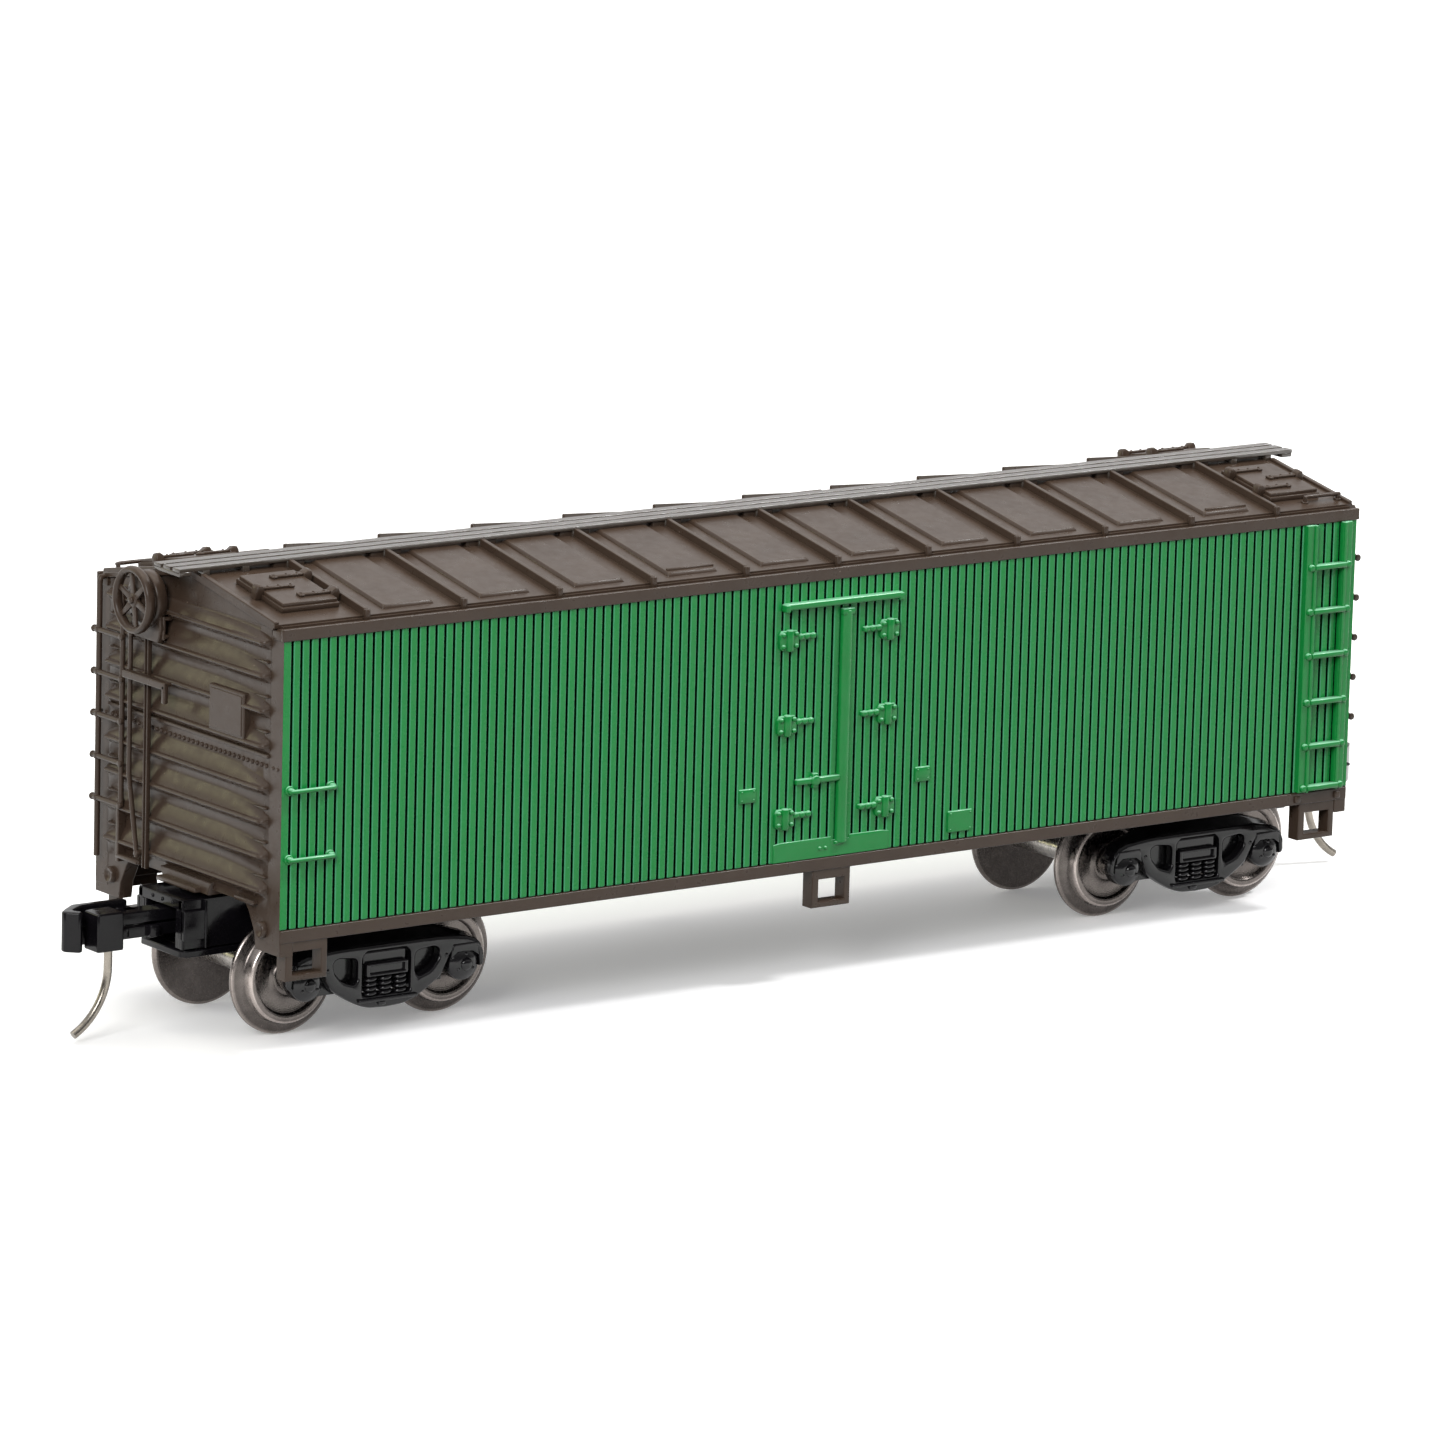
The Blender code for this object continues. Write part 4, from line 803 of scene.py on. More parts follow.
def door_fittings():
    """What the near side's doors and the boards beside them carry."""
    shape = Shape()
    shape.box((-4.14, 4.03), proud(0.44), (21.96, 22.34), 0.1)
    for x in (-4.05, 3.94):
        shape.box(around(x, 0.16), proud(0.46), (21.84, 22.3), 0.08)
    shape.rod("Z", 0.37, (8.1, 21.6), (0.32, BOARD_FACE), 0.1, 24)
    shape.box((-0.1, 0.75), proud(0.33), (21.3, 21.72), 0.1)
    shape.box((-0.12, 0.3), proud(0.2), (8.02, 8.22), 0.06)
    threshold = [(-4.4, 7.36), (3.74, 7.36), (3.74, 8.42), (3.2, 8.5), (0.95, 8.5), (0.95, 8.3)]
    threshold += [(-0.35, 8.3), (-0.35, 8.5), (-3.9, 8.5), (-4.4, 8.42)]
    shape.plate([threshold], "Y", proud(0.07), 0.05)
    rivets(shape, [(-0.75, 7.9), (-1.15, 7.9)], 0.07, 0.12, 0.1)
    for z in HINGE_ROWS:
        hinge(shape, HINGE_LEFT, z, 1)
        hinge(shape, HINGE_RIGHT, z, -1)
    shape.box((-3.0, 0.24), proud(0.24), (11.75, 12.1), 0.08)
    shape.rod("Y", 0.3, proud(0.34), (-1.7, 11.93), 0.07, 20)
    latch = [(-1.92, 11.9), (-1.84, 11.5), (-1.58, 11.5), (-1.46, 11.9), (-1.53, 12.35), (-1.88, 12.35)]
    shape.plate([latch], "Y", proud(0.27))
    for x0, x1, z0, z1 in ((-6.92, -5.78, 11.08, 11.9), (5.5, 6.54, 11.03, 11.9), (7.97, 9.69, 7.8, 9.05)):
        shape.box((x0, x1), proud(0.14), (z0, z1), 0.06)
        corners = [(x, z) for x in (x0 + 0.16, x1 - 0.16) for z in (z0 + 0.16, z1 - 0.16)]
        rivets(shape, corners, 0.14, 0.06, 0.04, 8)
    return shape


def side_ladder():
    """The near side's ladder at the A end and its two grab irons at the B end."""
    shape = Shape()
    posts = ((33.8, 34.52), (34.28, 34.5), (36.5, 37.2), (36.52, 36.74))
    for post, (height, edge) in zip(posts, ((0.3, 0.07), (0.42, 0.06)) * 2):
        shape.box(post, proud(height), (7.36, 23.4), edge)
    for z in RUNG_ROWS:
        shape.box((34.35, 36.7), (BOARD_FACE - 0.55, BOARD_FACE - 0.02), (z - 0.15, z + 0.17), 0.08)
        for x in (34.12, 36.9):
            shape.rod("Y", 0.21, proud(0.5), (x, z), 0.1, 16)
    for z in GRAB_ROWS:
        bar = ((-37.28, 0.3), (-37.1, 0.38), (-34.62, 0.38), (-34.44, 0.3))
        shape.tube([(x, BOARD_FACE - height, z) for x, height in bar], 0.13)
        for x in (-37.2, -34.5):
            shape.rod("Y", 0.19, proud(0.38), (x, z), 0.08, 16)
            shape.rod("Y", 0.28, proud(0.1), (x, z), 0.05, 16)
    return shape


panel, fittings, ladder = sheathing(), door_fittings(), side_ladder()
for side, turn in SIDES.items():
    piece(f"sheathing_{side}", moved(panel, turn), GREEN, "car", [f"side_panel_{side}"])
    piece(f"door_fittings_{side}", moved(fittings, turn), TRIM, "car")
    piece(f"side_ladder_{side}", moved(ladder, turn), TRIM, "car")


# ---------------------------------------------------------------- end fittings

LADDER_X = -38.2
TOP_RUNG, RUNG_GAP = 20.98, 2.39
end_ladder = Shape()
for y, feet, top, height, radius in ((8.5, 8.1, 23.7, 24.0, 0.17), (6.05, 11.6, 23.5, 23.75, 0.16)):
    bend = (LADDER_X + 0.1, y, height - 0.05)
    end_ladder.tube([(LADDER_X, y, feet), (LADDER_X, y, top), bend, (-37.6, y, height)], radius)
end_ladder.box((LADDER_X - 0.02, -37.7), (6.25, 6.55), (8.15, 11.8), 0.06)
end_ladder.box((LADDER_X - 0.05, -37.7), (4.3, 6.5), (8.36, 8.6), 0.07)
for k in range(5):
    z = TOP_RUNG - RUNG_GAP * k
    end_ladder.tube([(LADDER_X - 0.05, 5.98, z), (LADDER_X - 0.05, 8.95, z)], 0.16)
    end_ladder.rod("Y", 0.21, (8.85, 9.03), (LADDER_X - 0.05, z), 0.08, 16)
    for y in (6.05, 8.5):
        end_ladder.rod("X", 0.2, (LADDER_X - 0.22, LADDER_X + 0.1), (y, z), 0.09, 16)
for end, turn in ENDS.items():
    piece(f"end_ladder_piece_{end}", moved(end_ladder, turn), BROWN, "car", [f"end_ladder_{end}"])

HUB_X, HUB_Y, HUB_Z = -39.4, 3.1, 23.7


def ring_profile(radius, half, thick, sides=10):
    """A rounded ring's section as a closed run of (radius, along) points."""
    angles = [2 * math.pi * k / sides for k in range(sides + 1)]
    return [(radius + half * math.cos(angle), thick * math.sin(angle)) for angle in angles]


hand_wheel = Shape()
hub_place = Matrix.Translation((HUB_X, HUB_Y, HUB_Z)) @ TOWARDS_B
hand_wheel.turn(ring_profile(1.7, 0.21, 0.3), sides=56, matrix=hub_place)
hub = [(0, 0.3), (0.14, 0.3), (0.2, 0.24), (0.2, 0.14), (0.36, 0.12), (0.42, 0.04), (0.42, -0.16), (0, -0.16)]
hand_wheel.turn(hub, sides=24, matrix=hub_place)
spoke = [(0.3, -0.2), (1.65, -0.13), (1.65, 0.13), (0.3, 0.2)]
for k in range(6):
    spoke_turn = hub_place @ Matrix.Rotation(math.radians(60 * k + 10), 4, "Z")
    hand_wheel.plate([spoke], "Z", (-0.1, 0.08), 0.04, spoke_turn)
piece("hand_wheel", hand_wheel, BROWN, "car", ["brake_wheel"])

BACK_X = -38.15
housing = Shape()
drum = [(0, 1.0), (0.45, 1.0), (0.5, 0.86), (1.25, 0.8), (1.5, 0.72), (1.6, 0.6), (1.6, 0.1), (1.5, 0.0)]
drum += [(0, 0.0)]
housing.turn(drum, sides=40, matrix=Matrix.Translation((BACK_X, HUB_Y, HUB_Z)) @ TOWARDS_B)
cover = [(1.9, 21.4), (4.3, 21.4), (4.55, 22.2), (4.4, 23.7), (1.8, 23.7), (1.65, 22.2)]
housing.plate([cover], "X", (BACK_X - 0.45, BACK_X), 0.09)
housing.box((BACK_X - 0.16, BACK_X), (3.1, 3.5), (8.4, 23.0), 0.04)
for y in (3.15, 3.45):
    housing.box((BACK_X - 0.28, BACK_X - 0.05), around(y, 0.06), (8.4, 22.4), 0.04)
for a, b in ((-1.05, -1.05), (1.05, -1.05), (-1.25, 0.4), (1.25, 0.4)):
    housing.dome((BACK_X - 0.7, HUB_Y + a, HUB_Z + b), (-1, 0, 0), 0.13, 0.1)
piece("gear_housing", housing, BROWN, "car", ["brake_housing"])

grab = Shape()
for z in (21.75, 22.75):
    grab.rod("X", 0.12, (-38.3, -37.7), (1.75, z), 0.05, 12)
grab.tube([(-38.3, 1.75, 21.6), (-38.3, 1.75, 22.88)], 0.11)
piece("end_grab", grab, BROWN, "car")

step = Shape()
step.box((-38.98, -38.45), (0.55, 4.85), (19.2, 19.42), 0.08)
step.box((-38.6, -38.1), (3.1, 3.5), (19.05, 19.4), 0.06)
step.box((-39.02, -38.85), (0.5, 4.85), (19.02, 19.44), 0.07)
step.box((-39.02, -38.72), (0.5, 0.82), (18.25, 19.3), 0.08)
piece("brakeman_step", step, BROWN, "car", ["brake_step"])

rod = Shape()
route = [(4.78, 21.55), (4.78, 13.7), (4.77, 13.45), (4.7, 13.1), (3.86, 8.95)]
rod.tube([(-38.5, y, z) for y, z in route], 0.14)
for y, z in ((4.78, 21.4), (3.9, 9.15)):
    rod.rod("X", 0.2, (-38.62, -38.1), (y, z), 0.07, 16)
piece("brake_rod_piece", rod, BROWN, "car", ["brake_rod"])


# ---------------------------------------------------------------- underframe

TRUCK_X = 28.77
FLOOR_Z = 8.0
under = Shape()
under.box(around(0, 36.6), around(0, 8.22), (7.9, 8.6), 0.08)
under.box(around(0, 24), around(0, 0.9), (5.95, 8.1), 0.06)
under.box(around(0, 23.9), around(0, 1.12), (5.62, 5.95), 0.06)
for x in (-20, -10, 0, 10, 20):
    for side in (-1, 1):
        bearer = [(0.8, 8.1), (7.9, 8.1), (7.9, 7.3), (6.8, 7.1), (0.8, 6.3)]
        under.plate([flipped(bearer, side)], "X", around(x, 0.14), 0.04)
        foot = [(0.8, 6.12), (6.85, 6.93), (7.9, 7.15), (7.9, 7.31), (6.8, 7.11), (0.8, 6.31)]
        under.plate([flipped(foot, side)], "X", around(x, 0.4), 0.04)
for x in [3.3 * k for k in range(-7, 8)]:
    for side in (-1, 1):
        under.box(around(x, 0.12), (side * 0.95, side * 8.1), (7.6, FLOOR_Z), 0.04)
for side in (-1, 1):
    under.box(around(0, 33), (side * 5.4, side * 5.9), (7.35, FLOOR_Z), 0.06)
    under.rod("Z", 1.62, (6.1, 8.1), (side * TRUCK_X, 0), 0.08, 40)
    under.box((side * 27.4, side * 30.1), around(0, 7.6), (7.2, FLOOR_Z), 0.08)
under.box((-7.4, -3.6), (-4.5, -0.6), (6.65, 8.1), 0.14)
for x in (-6.8, -5.5, -4.2):
    under.box(around(x, 0.1), (-4.6, -0.6), (6.6, FLOOR_Z), 0.04)
# The brake cylinder and the air reservoir.
for x0, x1, y, z, radius in ((-7.0, -2.2, 3.4, 6.6, 0.93), (3.0, 8.0, 3.2, 6.9, 0.79)):
    under.rod("X", radius, (x0 + 0.2, x1), (y, z), 0.22, 32)
    under.rod("X", radius * 0.35, (x0, x1 - 1), (y, z), 0.06, 16)
    for x in (x0 + 1.2, x1 - 1.2):
        under.box(around(x, 0.16), around(y, 0.5), (z, FLOOR_Z), 0.05)
        under.rod("X", radius + 0.06, around(x, 0.16), (y, z), 0.04, 32)
pipe = [(-2.3, 3.4, 6.6), (-0.5, 3.2, 6.7), (1.5, 2.4, 6.6), (3.2, 1.5, 6.6), (12, 1.5, 6.6), (20, 1.5, 6.9)]
under.tube(pipe, 0.16)
under.tube([(-20, 3.9, 7.1), (-7.5, 3.9, 7.1), (-6.8, 3.4, 6.9)], 0.14)
piece("floor_frame", under, BLACK, "car", ["underframe"])


# ---------------------------------------------------------------- trucks

AXLE_BASE = 10.4
CAP_Z = 3.32
ROUND_STEPS = 5


def rounded(points, radius):
    """A polygon with its corners rounded off."""
    out = []
    for k, point in enumerate(points):
        here = Vector(point)
        before, after = Vector(points[k - 1]), Vector(points[(k + 1) % len(points)])
        cut = min(radius, 0.45 * (before - here).length, 0.45 * (after - here).length)
        first = here + (before - here).normalized() * cut
        last = here + (after - here).normalized() * cut
        for step in range(ROUND_STEPS + 1):
            t = step / ROUND_STEPS
            out.append(tuple(first * (1 - t) ** 2 + here * 2 * t * (1 - t) + last * t * t))
    return out


def mirrored(points):
    """The points and, after them, their mirror images across x = 0."""
    return points + flipped(points[::-1], -1)


def coil(shape, x, y, low, high, radius, wire_radius, turns, steps=16):
    """A coil spring with its foot at (x, y, low)."""
    points = []
    for k in range(turns * steps + 1):
        angle = 2 * math.pi * k / steps
        along = low + (high - low) * k / (turns * steps)
        points.append((x + radius * math.cos(angle), y + radius * math.sin(angle), along))
    shape.tube(points, wire_radius, resolution=2)


HALF_FRAME = [(0, 5.05), (-3.5, 5.05), (-5.3, 4.87), (-6.2, 4.5), (-6.5, 3.9), (-6.52, 3.2), (-6.25, 3.0)]
HALF_FRAME += [(-6.15, 3.95), (-5.9, 4.28), (-4.65, 4.3), (-4.3, 4.0), (-3.65, 2.8), (-2.6, 2.12)]
HALF_FRAME += [(-1.8, 1.7), (-1.1, 1.5), (0, 1.45)]
FRAME_OUTLINE = mirrored(HALF_FRAME)
WINDOW = [(-1.9, 4.4), (-3.2, 4.54), (-3.55, 4.35), (-3.52, 3.85), (-2.95, 3.2), (-2.15, 2.95), (-1.9, 3.2)]
MIDDLE = mirrored([(0, 4.8), (-1.2, 4.8), (-1.6, 4.45), (-1.6, 2.2), (0, 2.2)])
# How the shoulder over the frame runs: distance from the pivot, height of its front and of its back edge.
SHOULDER = ((0.0, 5.05, 5.85), (2.5, 5.05, 5.85), (3.5, 5.05, 5.65), (4.4, 4.98, 5.42), (5.3, 4.86, 5.15))
SHOULDER += ((5.9, 4.65, 4.9), (6.25, 4.35, 4.6), (6.42, 3.95, 4.15))


def shoulder():
    """The sloped top of the side frame, rising from its face towards the wheels."""
    stations = [(-x, front, back) for x, front, back in reversed(SHOULDER[1:])] + list(SHOULDER)
    part = bmesh.new()
    rings = []
    for x, front, back in stations:
        rise = back - front
        section = [(-6.76, front - 0.25), (-6.75, front - 0.06), (-6.68, front + 0.05)]
        section += [(-6.5, front + 0.2 * rise), (-6.1, front + 0.62 * rise)]
        section += [(-5.8, back - 0.04), (-5.7, back - 0.06), (-5.66, back - 0.2), (-5.66, front - 0.3)]
        rings.append([part.verts.new((x, y, z)) for y, z in section])
    join_rings(part, rings)
    return part


def side_frame():
    """The near side frame of a truck about its pivot: casting, bolster end, springs and bearings."""
    shape = Shape()
    windows = [rounded(WINDOW, 0.35), rounded(flipped(WINDOW[::-1], -1), 0.35)]
    middle = rounded(MIDDLE, 0.2)
    shape.plate([rounded(FRAME_OUTLINE, 0.35), *windows, middle], "Y", (-6.75, -6.0), 0.14)
    shape.add(shoulder())
    shape.box(around(0, 4.1), (-6.02, -5.85), (2.4, 4.9), 0.03)
    shape.box(around(0, 1.5), (-6.5, -5.95), (3.9, 4.76), 0.2)
    block, recess = rectangle(-1.38, 1.38, 3.28, 4.05), rectangle(-1.16, 1.16, 3.46, 3.88)
    shape.plate([rounded(block, 0.12), rounded(recess, 0.08)], "Y", (-6.82, -6.3), 0.08)
    shape.box(around(0, 1.3), (-6.62, -6.0), (3.3, 4.0), 0.03)
    shape.box(around(0, 1.95), (-6.98, -5.9), (1.88, 2.1), 0.08)
    shape.box((-0.62, -0.12), (-6.95, -6.4), (1.62, 1.95), 0.12)
    for x in (-0.98, 0.0, 0.98):
        coil(shape, x, -6.42, 2.12, 3.2, 0.34, 0.115, 4)
        shape.rod("Z", 0.2, (2.0, 3.2), (x, -6.42), 0.03, 12)
    cap = [(0, 7.12), (0.22, 7.1), (0.34, 7.0), (0.38, 6.9), (0.62, 6.86), (0.74, 6.76), (0.94, 6.66)]
    cap += [(1.0, 6.5), (1.0, 5.75), (0, 5.75)]
    adapter = [(-0.8, 4.5), (0.8, 4.5), (0.95, 3.7), (0.5, 4.0), (-0.5, 4.0), (-0.95, 3.7)]
    for side in (-1, 1):
        x = side * AXLE_BASE / 2
        shape.turn(cap, sides=40, matrix=Matrix.Translation((x, 0, CAP_Z)) @ TOWARDS_NEAR)
        for bolt_x, bolt_z in circle(0.56, 3, x, start=90):
            shape.dome((bolt_x, -6.84, CAP_Z + bolt_z), (0, -1, 0), 0.11, 0.1, 8)
        shape.plate([shifted(adapter, x)], "Y", (-6.8, -6.0), 0.06)
        shape.dome((side * 3.95, -6.74, 3.95), (0, -1, 0), 0.13, 0.09)
    return shape


near_frame = side_frame()
truck = Shape()
truck.include(near_frame)
truck.include(near_frame, HALF_TURN)
bolster = [(-1.22, 5.92), (1.22, 5.92), (1.3, 4.8), (-1.3, 4.8)]
truck.plate([bolster], "Y", around(0, 5.6), 0.07)
truck.rod("Z", 1.55, (5.6, 5.99), (0, 0), 0.06, 40)
shoe = shifted([(2.62, 4.1), (2.2, 4.2), (1.9, 3.4), (2.2, 2.6), (2.55, 2.7), (2.38, 3.4)], -0.1)
for side in (-1, 1):
    truck.box((side * 2.35, side * 2.65), around(0, 5.9), (2.9, 3.25), 0.08)
    for y in (-4.6, 4.6):
        truck.plate([flipped(shoe, side)], "Y", around(y, 0.35), 0.06)
for end, turn in ENDS.items():
    casting = moved(truck, turn @ Matrix.Translation((-TRUCK_X, 0, 0)))
    piece(f"truck_casting_{end}", casting, BLACK, f"truck_{end}", [f"truck_frame_{end}"])

# A near wheel's section about its axle, as (radius, distance from the car's middle).
WHEEL = ((0.74, 4.85), (0.98, 4.85), (1.04, 4.8), (1.1, 4.7), (1.3, 4.64), (1.85, 4.64), (2.06, 4.7))
WHEEL += ((2.14, 4.88), (2.2, 4.93), (2.5, 4.93), (2.61, 4.85), (2.63, 4.7), (2.69, 4.42), (2.76, 4.3))
WHEEL += ((2.95, 4.22), (3.22, 4.14), (3.34, 4.08), (3.37, 3.98), (3.36, 3.88), (3.28, 3.79), (3.0, 3.76))
WHEEL += ((1.1, 3.76), (1.0, 3.7), (0.74, 3.7), (0.74, 4.85))
AXLE_TIP = [(0, 6.74), (0.08, 6.72), (0.5, 6.05), (0.72, 5.55), (0.75, 5.45), (0.75, 3.7), (0.72, 3.6)]
AXLE = AXLE_TIP + [(0.72, 0)] + [(radius, -along) for radius, along in reversed(AXLE_TIP)]


def turned_about_y(profile, sides, side):
    """A profile spun about the Y axis, its far end towards the near side (-1) or the far side (1)."""
    shape = Shape()
    shape.turn(profile, sides=sides, matrix=Matrix.Rotation(-side * math.pi / 2, 4, "X"))
    return shape


for end in ENDS:
    for spot in ("outer", "inner"):
        label = f"{end}_{spot}"
        middle = cad_centre(f"axle_{label}")
        at = Matrix.Translation(middle)
        rides = f"wheelset_{label}"
        axle = turned_about_y(AXLE, 40, 1)
        piece(f"axle_bar_{label}", axle, AXLE_STEEL, rides, [f"axle_{label}"], at, middle)
        for side_name, side in (("near", -1), ("far", 1)):
            wheel = turned_about_y(WHEEL, 96, side)
            node = f"wheel_{label}_{side_name}"
            piece(f"turned_{node}", wheel, WHEEL_METAL, rides, [node], at, middle)


# ---------------------------------------------------------------- couplers

KINGPIN = 36.6
BOX_FRONT, BOX_BACK, BOX_TOP = -39.38, -31.72, 7.78
BOX_LOW = 4.97


def draft_box():
    """The B end's draft gear box, open below and in front."""
    shape = Shape()
    front, back, top, low = BOX_FRONT, BOX_BACK, BOX_TOP, BOX_LOW
    for side in (-1, 1):
        shape.box((front, back), (side * 1.78, side * 2.24), (low, top), 0.07)
        shape.box((front, -37.85), (side * 1.62, side * 2.44), (5.5, 7.2), 0.06)
        shape.box((front + 0.03, front + 0.5), (side * 1.48, side * 2.0), (low, top - 0.3), 0.06)
        shape.box((front, front + 0.16), (side * 2.08, side * 2.26), (low, top - 0.1), 0.05)
    shape.box((front, back), around(0, 2.22), (7.18, top), 0.07)
    shape.box((-34.2, back), around(0, 2.2), (low, 7.4), 0.05)
    for y in (-1.5, -0.75, 0.0, 0.75, 1.5):
        shape.box((front + 0.12, front + 0.5), around(y, 0.14), (7.5, top), 0.05)
    shape.rod("Z", 0.5, (5.05, 7.4), (-KINGPIN, 0), 0.05, 24)
    for y in (-1.2, -0.2, 0.8):
        shape.dome((front, y, 7.5), (-1, 0, 0), 0.12, 0.1)
    for side in (-1, 1):
        shape.box((front + 1.35, front + 1.5), (side * 2.2, side * 2.5), (5.0, top - 0.1), 0.04)
    return shape


def draft_lid():
    """The B end's draft gear box lid, with the hole for its screw."""
    shape = Shape()
    outline = [(BOX_FRONT, -1.9), (-39.0, -2.28), (-31.9, -2.28), (BOX_BACK, -2.1), (BOX_BACK, 2.1)]
    outline += [(-31.9, 2.28), (-39.0, 2.28), (BOX_FRONT, 1.9)]
    shape.plate([outline, circle(0.44, 24, -32.6)], "Z", (4.5, 4.9), 0.07)
    shape.box((-38.6, -34.6), around(0, 1.5), (4.62, 4.93), 0.05)
    return shape


UPPER_HALF = (6.36, 7.05)
LOWER_HALF = (5.56, 6.25)


def coupler_shank(level):
    """The ring about the kingpin where a coupler half's shank starts."""
    shape = Shape()
    shape.plate([circle(1.05, 32), circle(0.55, 32)], "Z", level, 0.05)
    return shape


def knuckle():
    """The upper half, about its kingpin, with the coupler pointing to -X."""
    shape = coupler_shank(UPPER_HALF)
    shape.box((-5.8, -0.62), around(0, 0.6), UPPER_HALF, 0.08)
    arm = [(-4.25, -0.05), (-4.25, 0.95), (-4.6, 1.38), (-6.6, 1.38), (-6.6, 0.82), (-5.05, 0.8)]
    arm += [(-5.05, -0.05)]
    shape.plate([rounded(arm, 0.2)], "Z", UPPER_HALF, 0.08)
    shape.box((-6.3, -4.4), (0.84, 1.38), (6.4, 7.43), 0.1)
    hook = [(-8.45, -0.74), (-9.08, -0.12), (-9.08, 0.2), (-8.6, 0.68), (-7.72, 1.39), (-5.65, 1.39)]
    hook += [(-5.65, 0.82), (-7.28, 0.82), (-7.8, 0.5), (-8.32, 0.17), (-8.3, -0.02), (-8.1, -0.42)]
    hook += [(-8.2, -0.62)]
    shape.plate([rounded(hook, 0.12)], "Z", (5.17, 7.43), 0.1)
    shape.box((-8.2, -5.7), (0.5, 1.3), (6.3, 6.46), 0.03)
    return shape


PIN_X, PIN_Y, PIN_Z = -6.4, -0.4, 4.2
PIN_BEND = 4.2


def guard():
    """The lower half, whose block closes the jaw from behind and holds the trip pin."""
    shape = coupler_shank(LOWER_HALF)
    shape.box((-6.2, -0.62), (-0.6, 0.4), LOWER_HALF, 0.08)
    block = [(-7.62, -1.28), (-5.92, -1.28), (-5.92, 0.38), (-6.6, 0.38), (-7.62, 0.2)]
    shape.plate([rounded(block, 0.14)], "Z", (5.17, 7.33), 0.1)
    shape.box((-6.1, -5.2), (-0.7, 0.1), (5.62, 6.3), 0.1)
    shape.box((-3.98, -3.37), (-0.94, 0), LOWER_HALF, 0.08)
    shape.rod("Z", 0.34, (5.05, 5.4), (PIN_X, PIN_Y), 0.06, 20)
    return shape


def pin():
    """The trip pin: straight down, then curving forward and down under the jaw."""
    points = [(PIN_X, PIN_Y, 6.15), (PIN_X, PIN_Y, 4.45)]
    for angle in [math.radians(4.4 * k) for k in range(1, 15)]:
        points.append((PIN_X - PIN_BEND * (1 - math.cos(angle)), PIN_Y, PIN_Z - PIN_BEND * math.sin(angle)))
    shape = Shape()
    shape.tube(points, 0.238, resolution=5)
    return shape


for end, turn in ENDS.items():
    place = turn @ Matrix.Translation((-KINGPIN, 0, 0))
    lower = f"coupler_{end}_lower"
    for name, shape, node, rides, finish, matrix in (
        ("draft_box", draft_box(), "coupler_box", "car", COUPLER_BLACK, turn),
        ("draft_lid", draft_lid(), "coupler_lid", "car", COUPLER_BLACK, turn),
        ("jaw_half", knuckle(), "coupler_knuckle_half", f"coupler_{end}", COUPLER_BLACK, place),
        ("guard_arm", guard(), "coupler_guard_half", lower, COUPLER_BLACK, place),
        ("trip_wire", pin(), "trip_pin", lower, PIN_STEEL, place),
    ):
        piece(f"{name}_{end}", moved(shape, matrix), finish, rides, [f"{node}_{end}"])


# ---------------------------------------------------------------- CAD parts that stay

KEPT = {"weight": WEIGHT_STEEL}
for end in ENDS:
    KEPT[f"truck_screw_{end}"] = PIN_STEEL[0]
    KEPT[f"coupler_screw_{end}"] = PIN_STEEL[0]
    KEPT[f"coupler_spring_{end}"] = SPRING_STEEL
for node, material in KEPT.items():
    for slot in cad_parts[node].material_slots:
        slot.material = material


# ---------------------------------------------------------------- camera, floor and light

AZIMUTH, ELEVATION, ROLL = math.radians(-36.274), math.radians(11.919), math.radians(1.541)
DISTANCE = 528.99
LENS, SENSOR = 230.95, 36
LOOK_RIGHT, LOOK_UP, LOOK_HEIGHT = -1.3146, 0.6045, 13.0

flat = math.cos(ELEVATION)
back = Vector((math.sin(AZIMUTH) * flat, -math.cos(AZIMUTH) * flat, math.sin(ELEVATION)))
level_right = Vector((math.cos(AZIMUTH), math.sin(AZIMUTH), 0))
level_up = back.cross(level_right)
right = level_right * math.cos(ROLL) + level_up * math.sin(ROLL)
up = level_up * math.cos(ROLL) - level_right * math.sin(ROLL)
target = Vector((0, 0, LOOK_HEIGHT)) + right * LOOK_RIGHT + up * LOOK_UP
camera_data = bpy.data.cameras.new("camera")
camera_data.lens = LENS
camera_data.sensor_width = SENSOR
camera_data.clip_start = 0.01
camera_data.clip_end = 20
camera = bpy.data.objects.new("camera", camera_data)
scene.collection.objects.link(camera)
turn = Matrix((right, up, back)).transposed().to_4x4()
camera.matrix_world = Matrix.Translation((target + back * DISTANCE) * MM) @ turn
scene.camera = camera

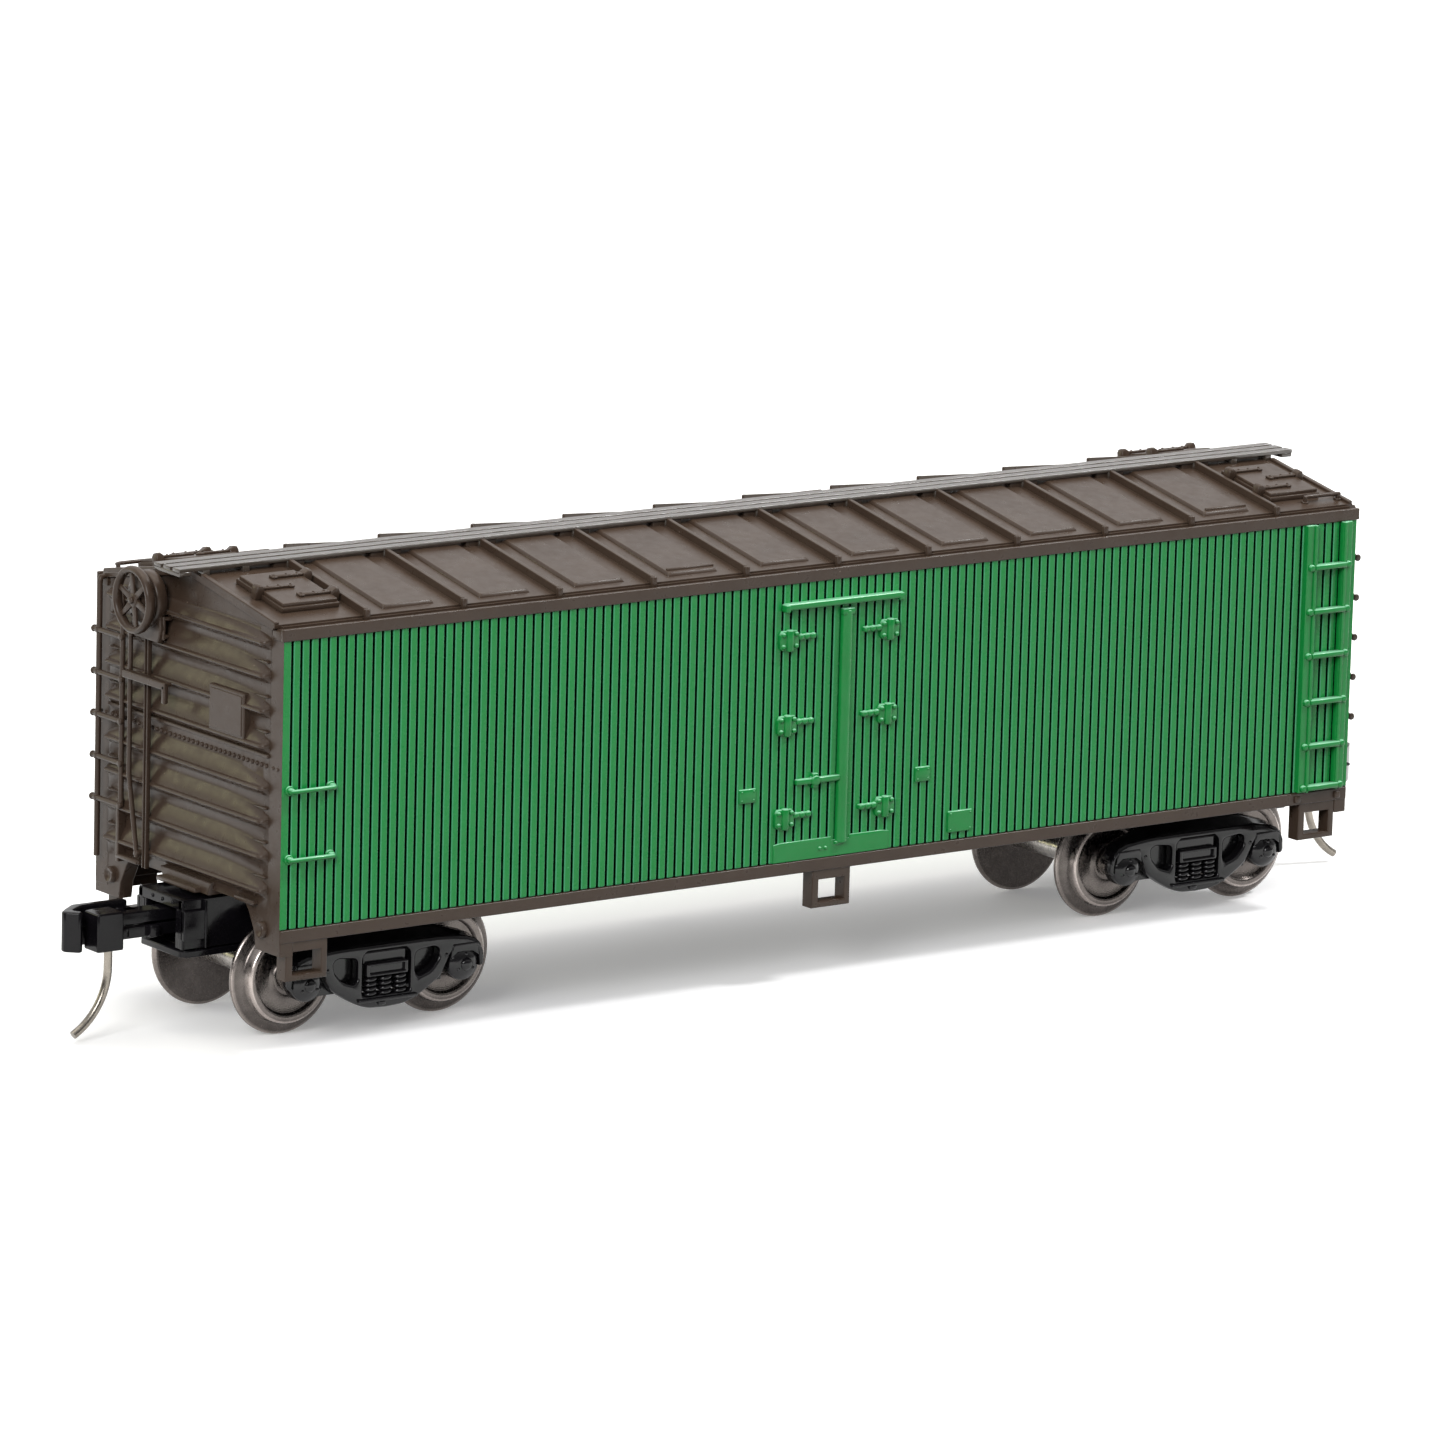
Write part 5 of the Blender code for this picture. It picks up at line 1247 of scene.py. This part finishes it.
floor_part = bmesh.new()
bmesh.ops.create_grid(floor_part, x_segments=1, y_segments=1, size=3)
floor_mesh = bpy.data.meshes.new("floor")
floor_part.to_mesh(floor_mesh)
floor_part.free()
floor = bpy.data.objects.new("floor", floor_mesh)
PAPER_TONES = ((0.90, 0.90, 0.905), (0.92, 0.92, 0.925))
PAPER_GLOW = 0.22
paper = Nodes("paper")
paper_color = paper.mix(paper.noise(size=40), *PAPER_TONES)
paper.set(paper.shader, "Base Color", paper_color)
paper.set(paper.shader, "Roughness", 0.9)
paper.set(paper.shader, "Emission Color", (1.0, 1.0, 1.0, 1.0))
paper.set(paper.shader, "Emission Strength", PAPER_GLOW)
floor_mesh.materials.append(paper.material)
scene.collection.objects.link(floor)
# The floor shows in the gloss but throws no diffuse light back up, so the undersides stay dark.
floor.visible_diffuse = False

# A studio that is dim behind the camera and bright beyond the car and overhead.
BRIGHT_SIDE = (0.25, 0.34, 0.907)
world = bpy.data.worlds.new("studio")
world.use_nodes = True
tree = world.node_tree
beyond = tree.nodes.new("ShaderNodeVectorMath")
beyond.operation = "DOT_PRODUCT"
tree.links.new(tree.nodes.new("ShaderNodeTexCoord").outputs["Generated"], beyond.inputs[0])
beyond.inputs[1].default_value = BRIGHT_SIDE
level = tree.nodes.new("ShaderNodeMapRange")
level.interpolation_type = "SMOOTHSTEP"
tree.links.new(beyond.outputs["Value"], level.inputs["Value"])
for name, value in (("From Min", -0.1), ("From Max", 0.95), ("To Min", 0.2), ("To Max", 1.12)):
    level.inputs[name].default_value = value
sky = tree.nodes["Background"]
tree.links.new(level.outputs["Result"], sky.inputs["Strength"])
sky.inputs["Color"].default_value = (1.0, 1.0, 1.0, 1.0)
scene.world = world

CAR_MIDDLE = Vector((0, 0, 0.013))


def softbox(name, place, size, power, color=(1.0, 1.0, 1.0)):
    """A square light that looks at the middle of the car, with its place in metres."""
    data = bpy.data.lights.new(name, "AREA")
    data.shape = "SQUARE"
    data.size = size
    data.energy = power
    data.color = color
    light = bpy.data.objects.new(name, data)
    scene.collection.objects.link(light)
    light.location = place
    light.rotation_euler = (CAR_MIDDLE - Vector(place)).to_track_quat("-Z", "Y").to_euler()


softbox("overhead", (-0.05, 0.05, 0.7), 0.5, 1.2, (1.0, 0.96, 0.82))
softbox("key", (-0.9, -0.6, 0.6), 0.45, 8.2)
softbox("far_left", (-0.60, 0.83, 0.29), 0.3, 0.7, (1.0, 0.97, 0.55))
softbox("spark", (0.64, -0.34, 0.83), 0.16, 6.0)
scene.view_settings.view_transform = "Standard"
scene.view_settings.look = "None"
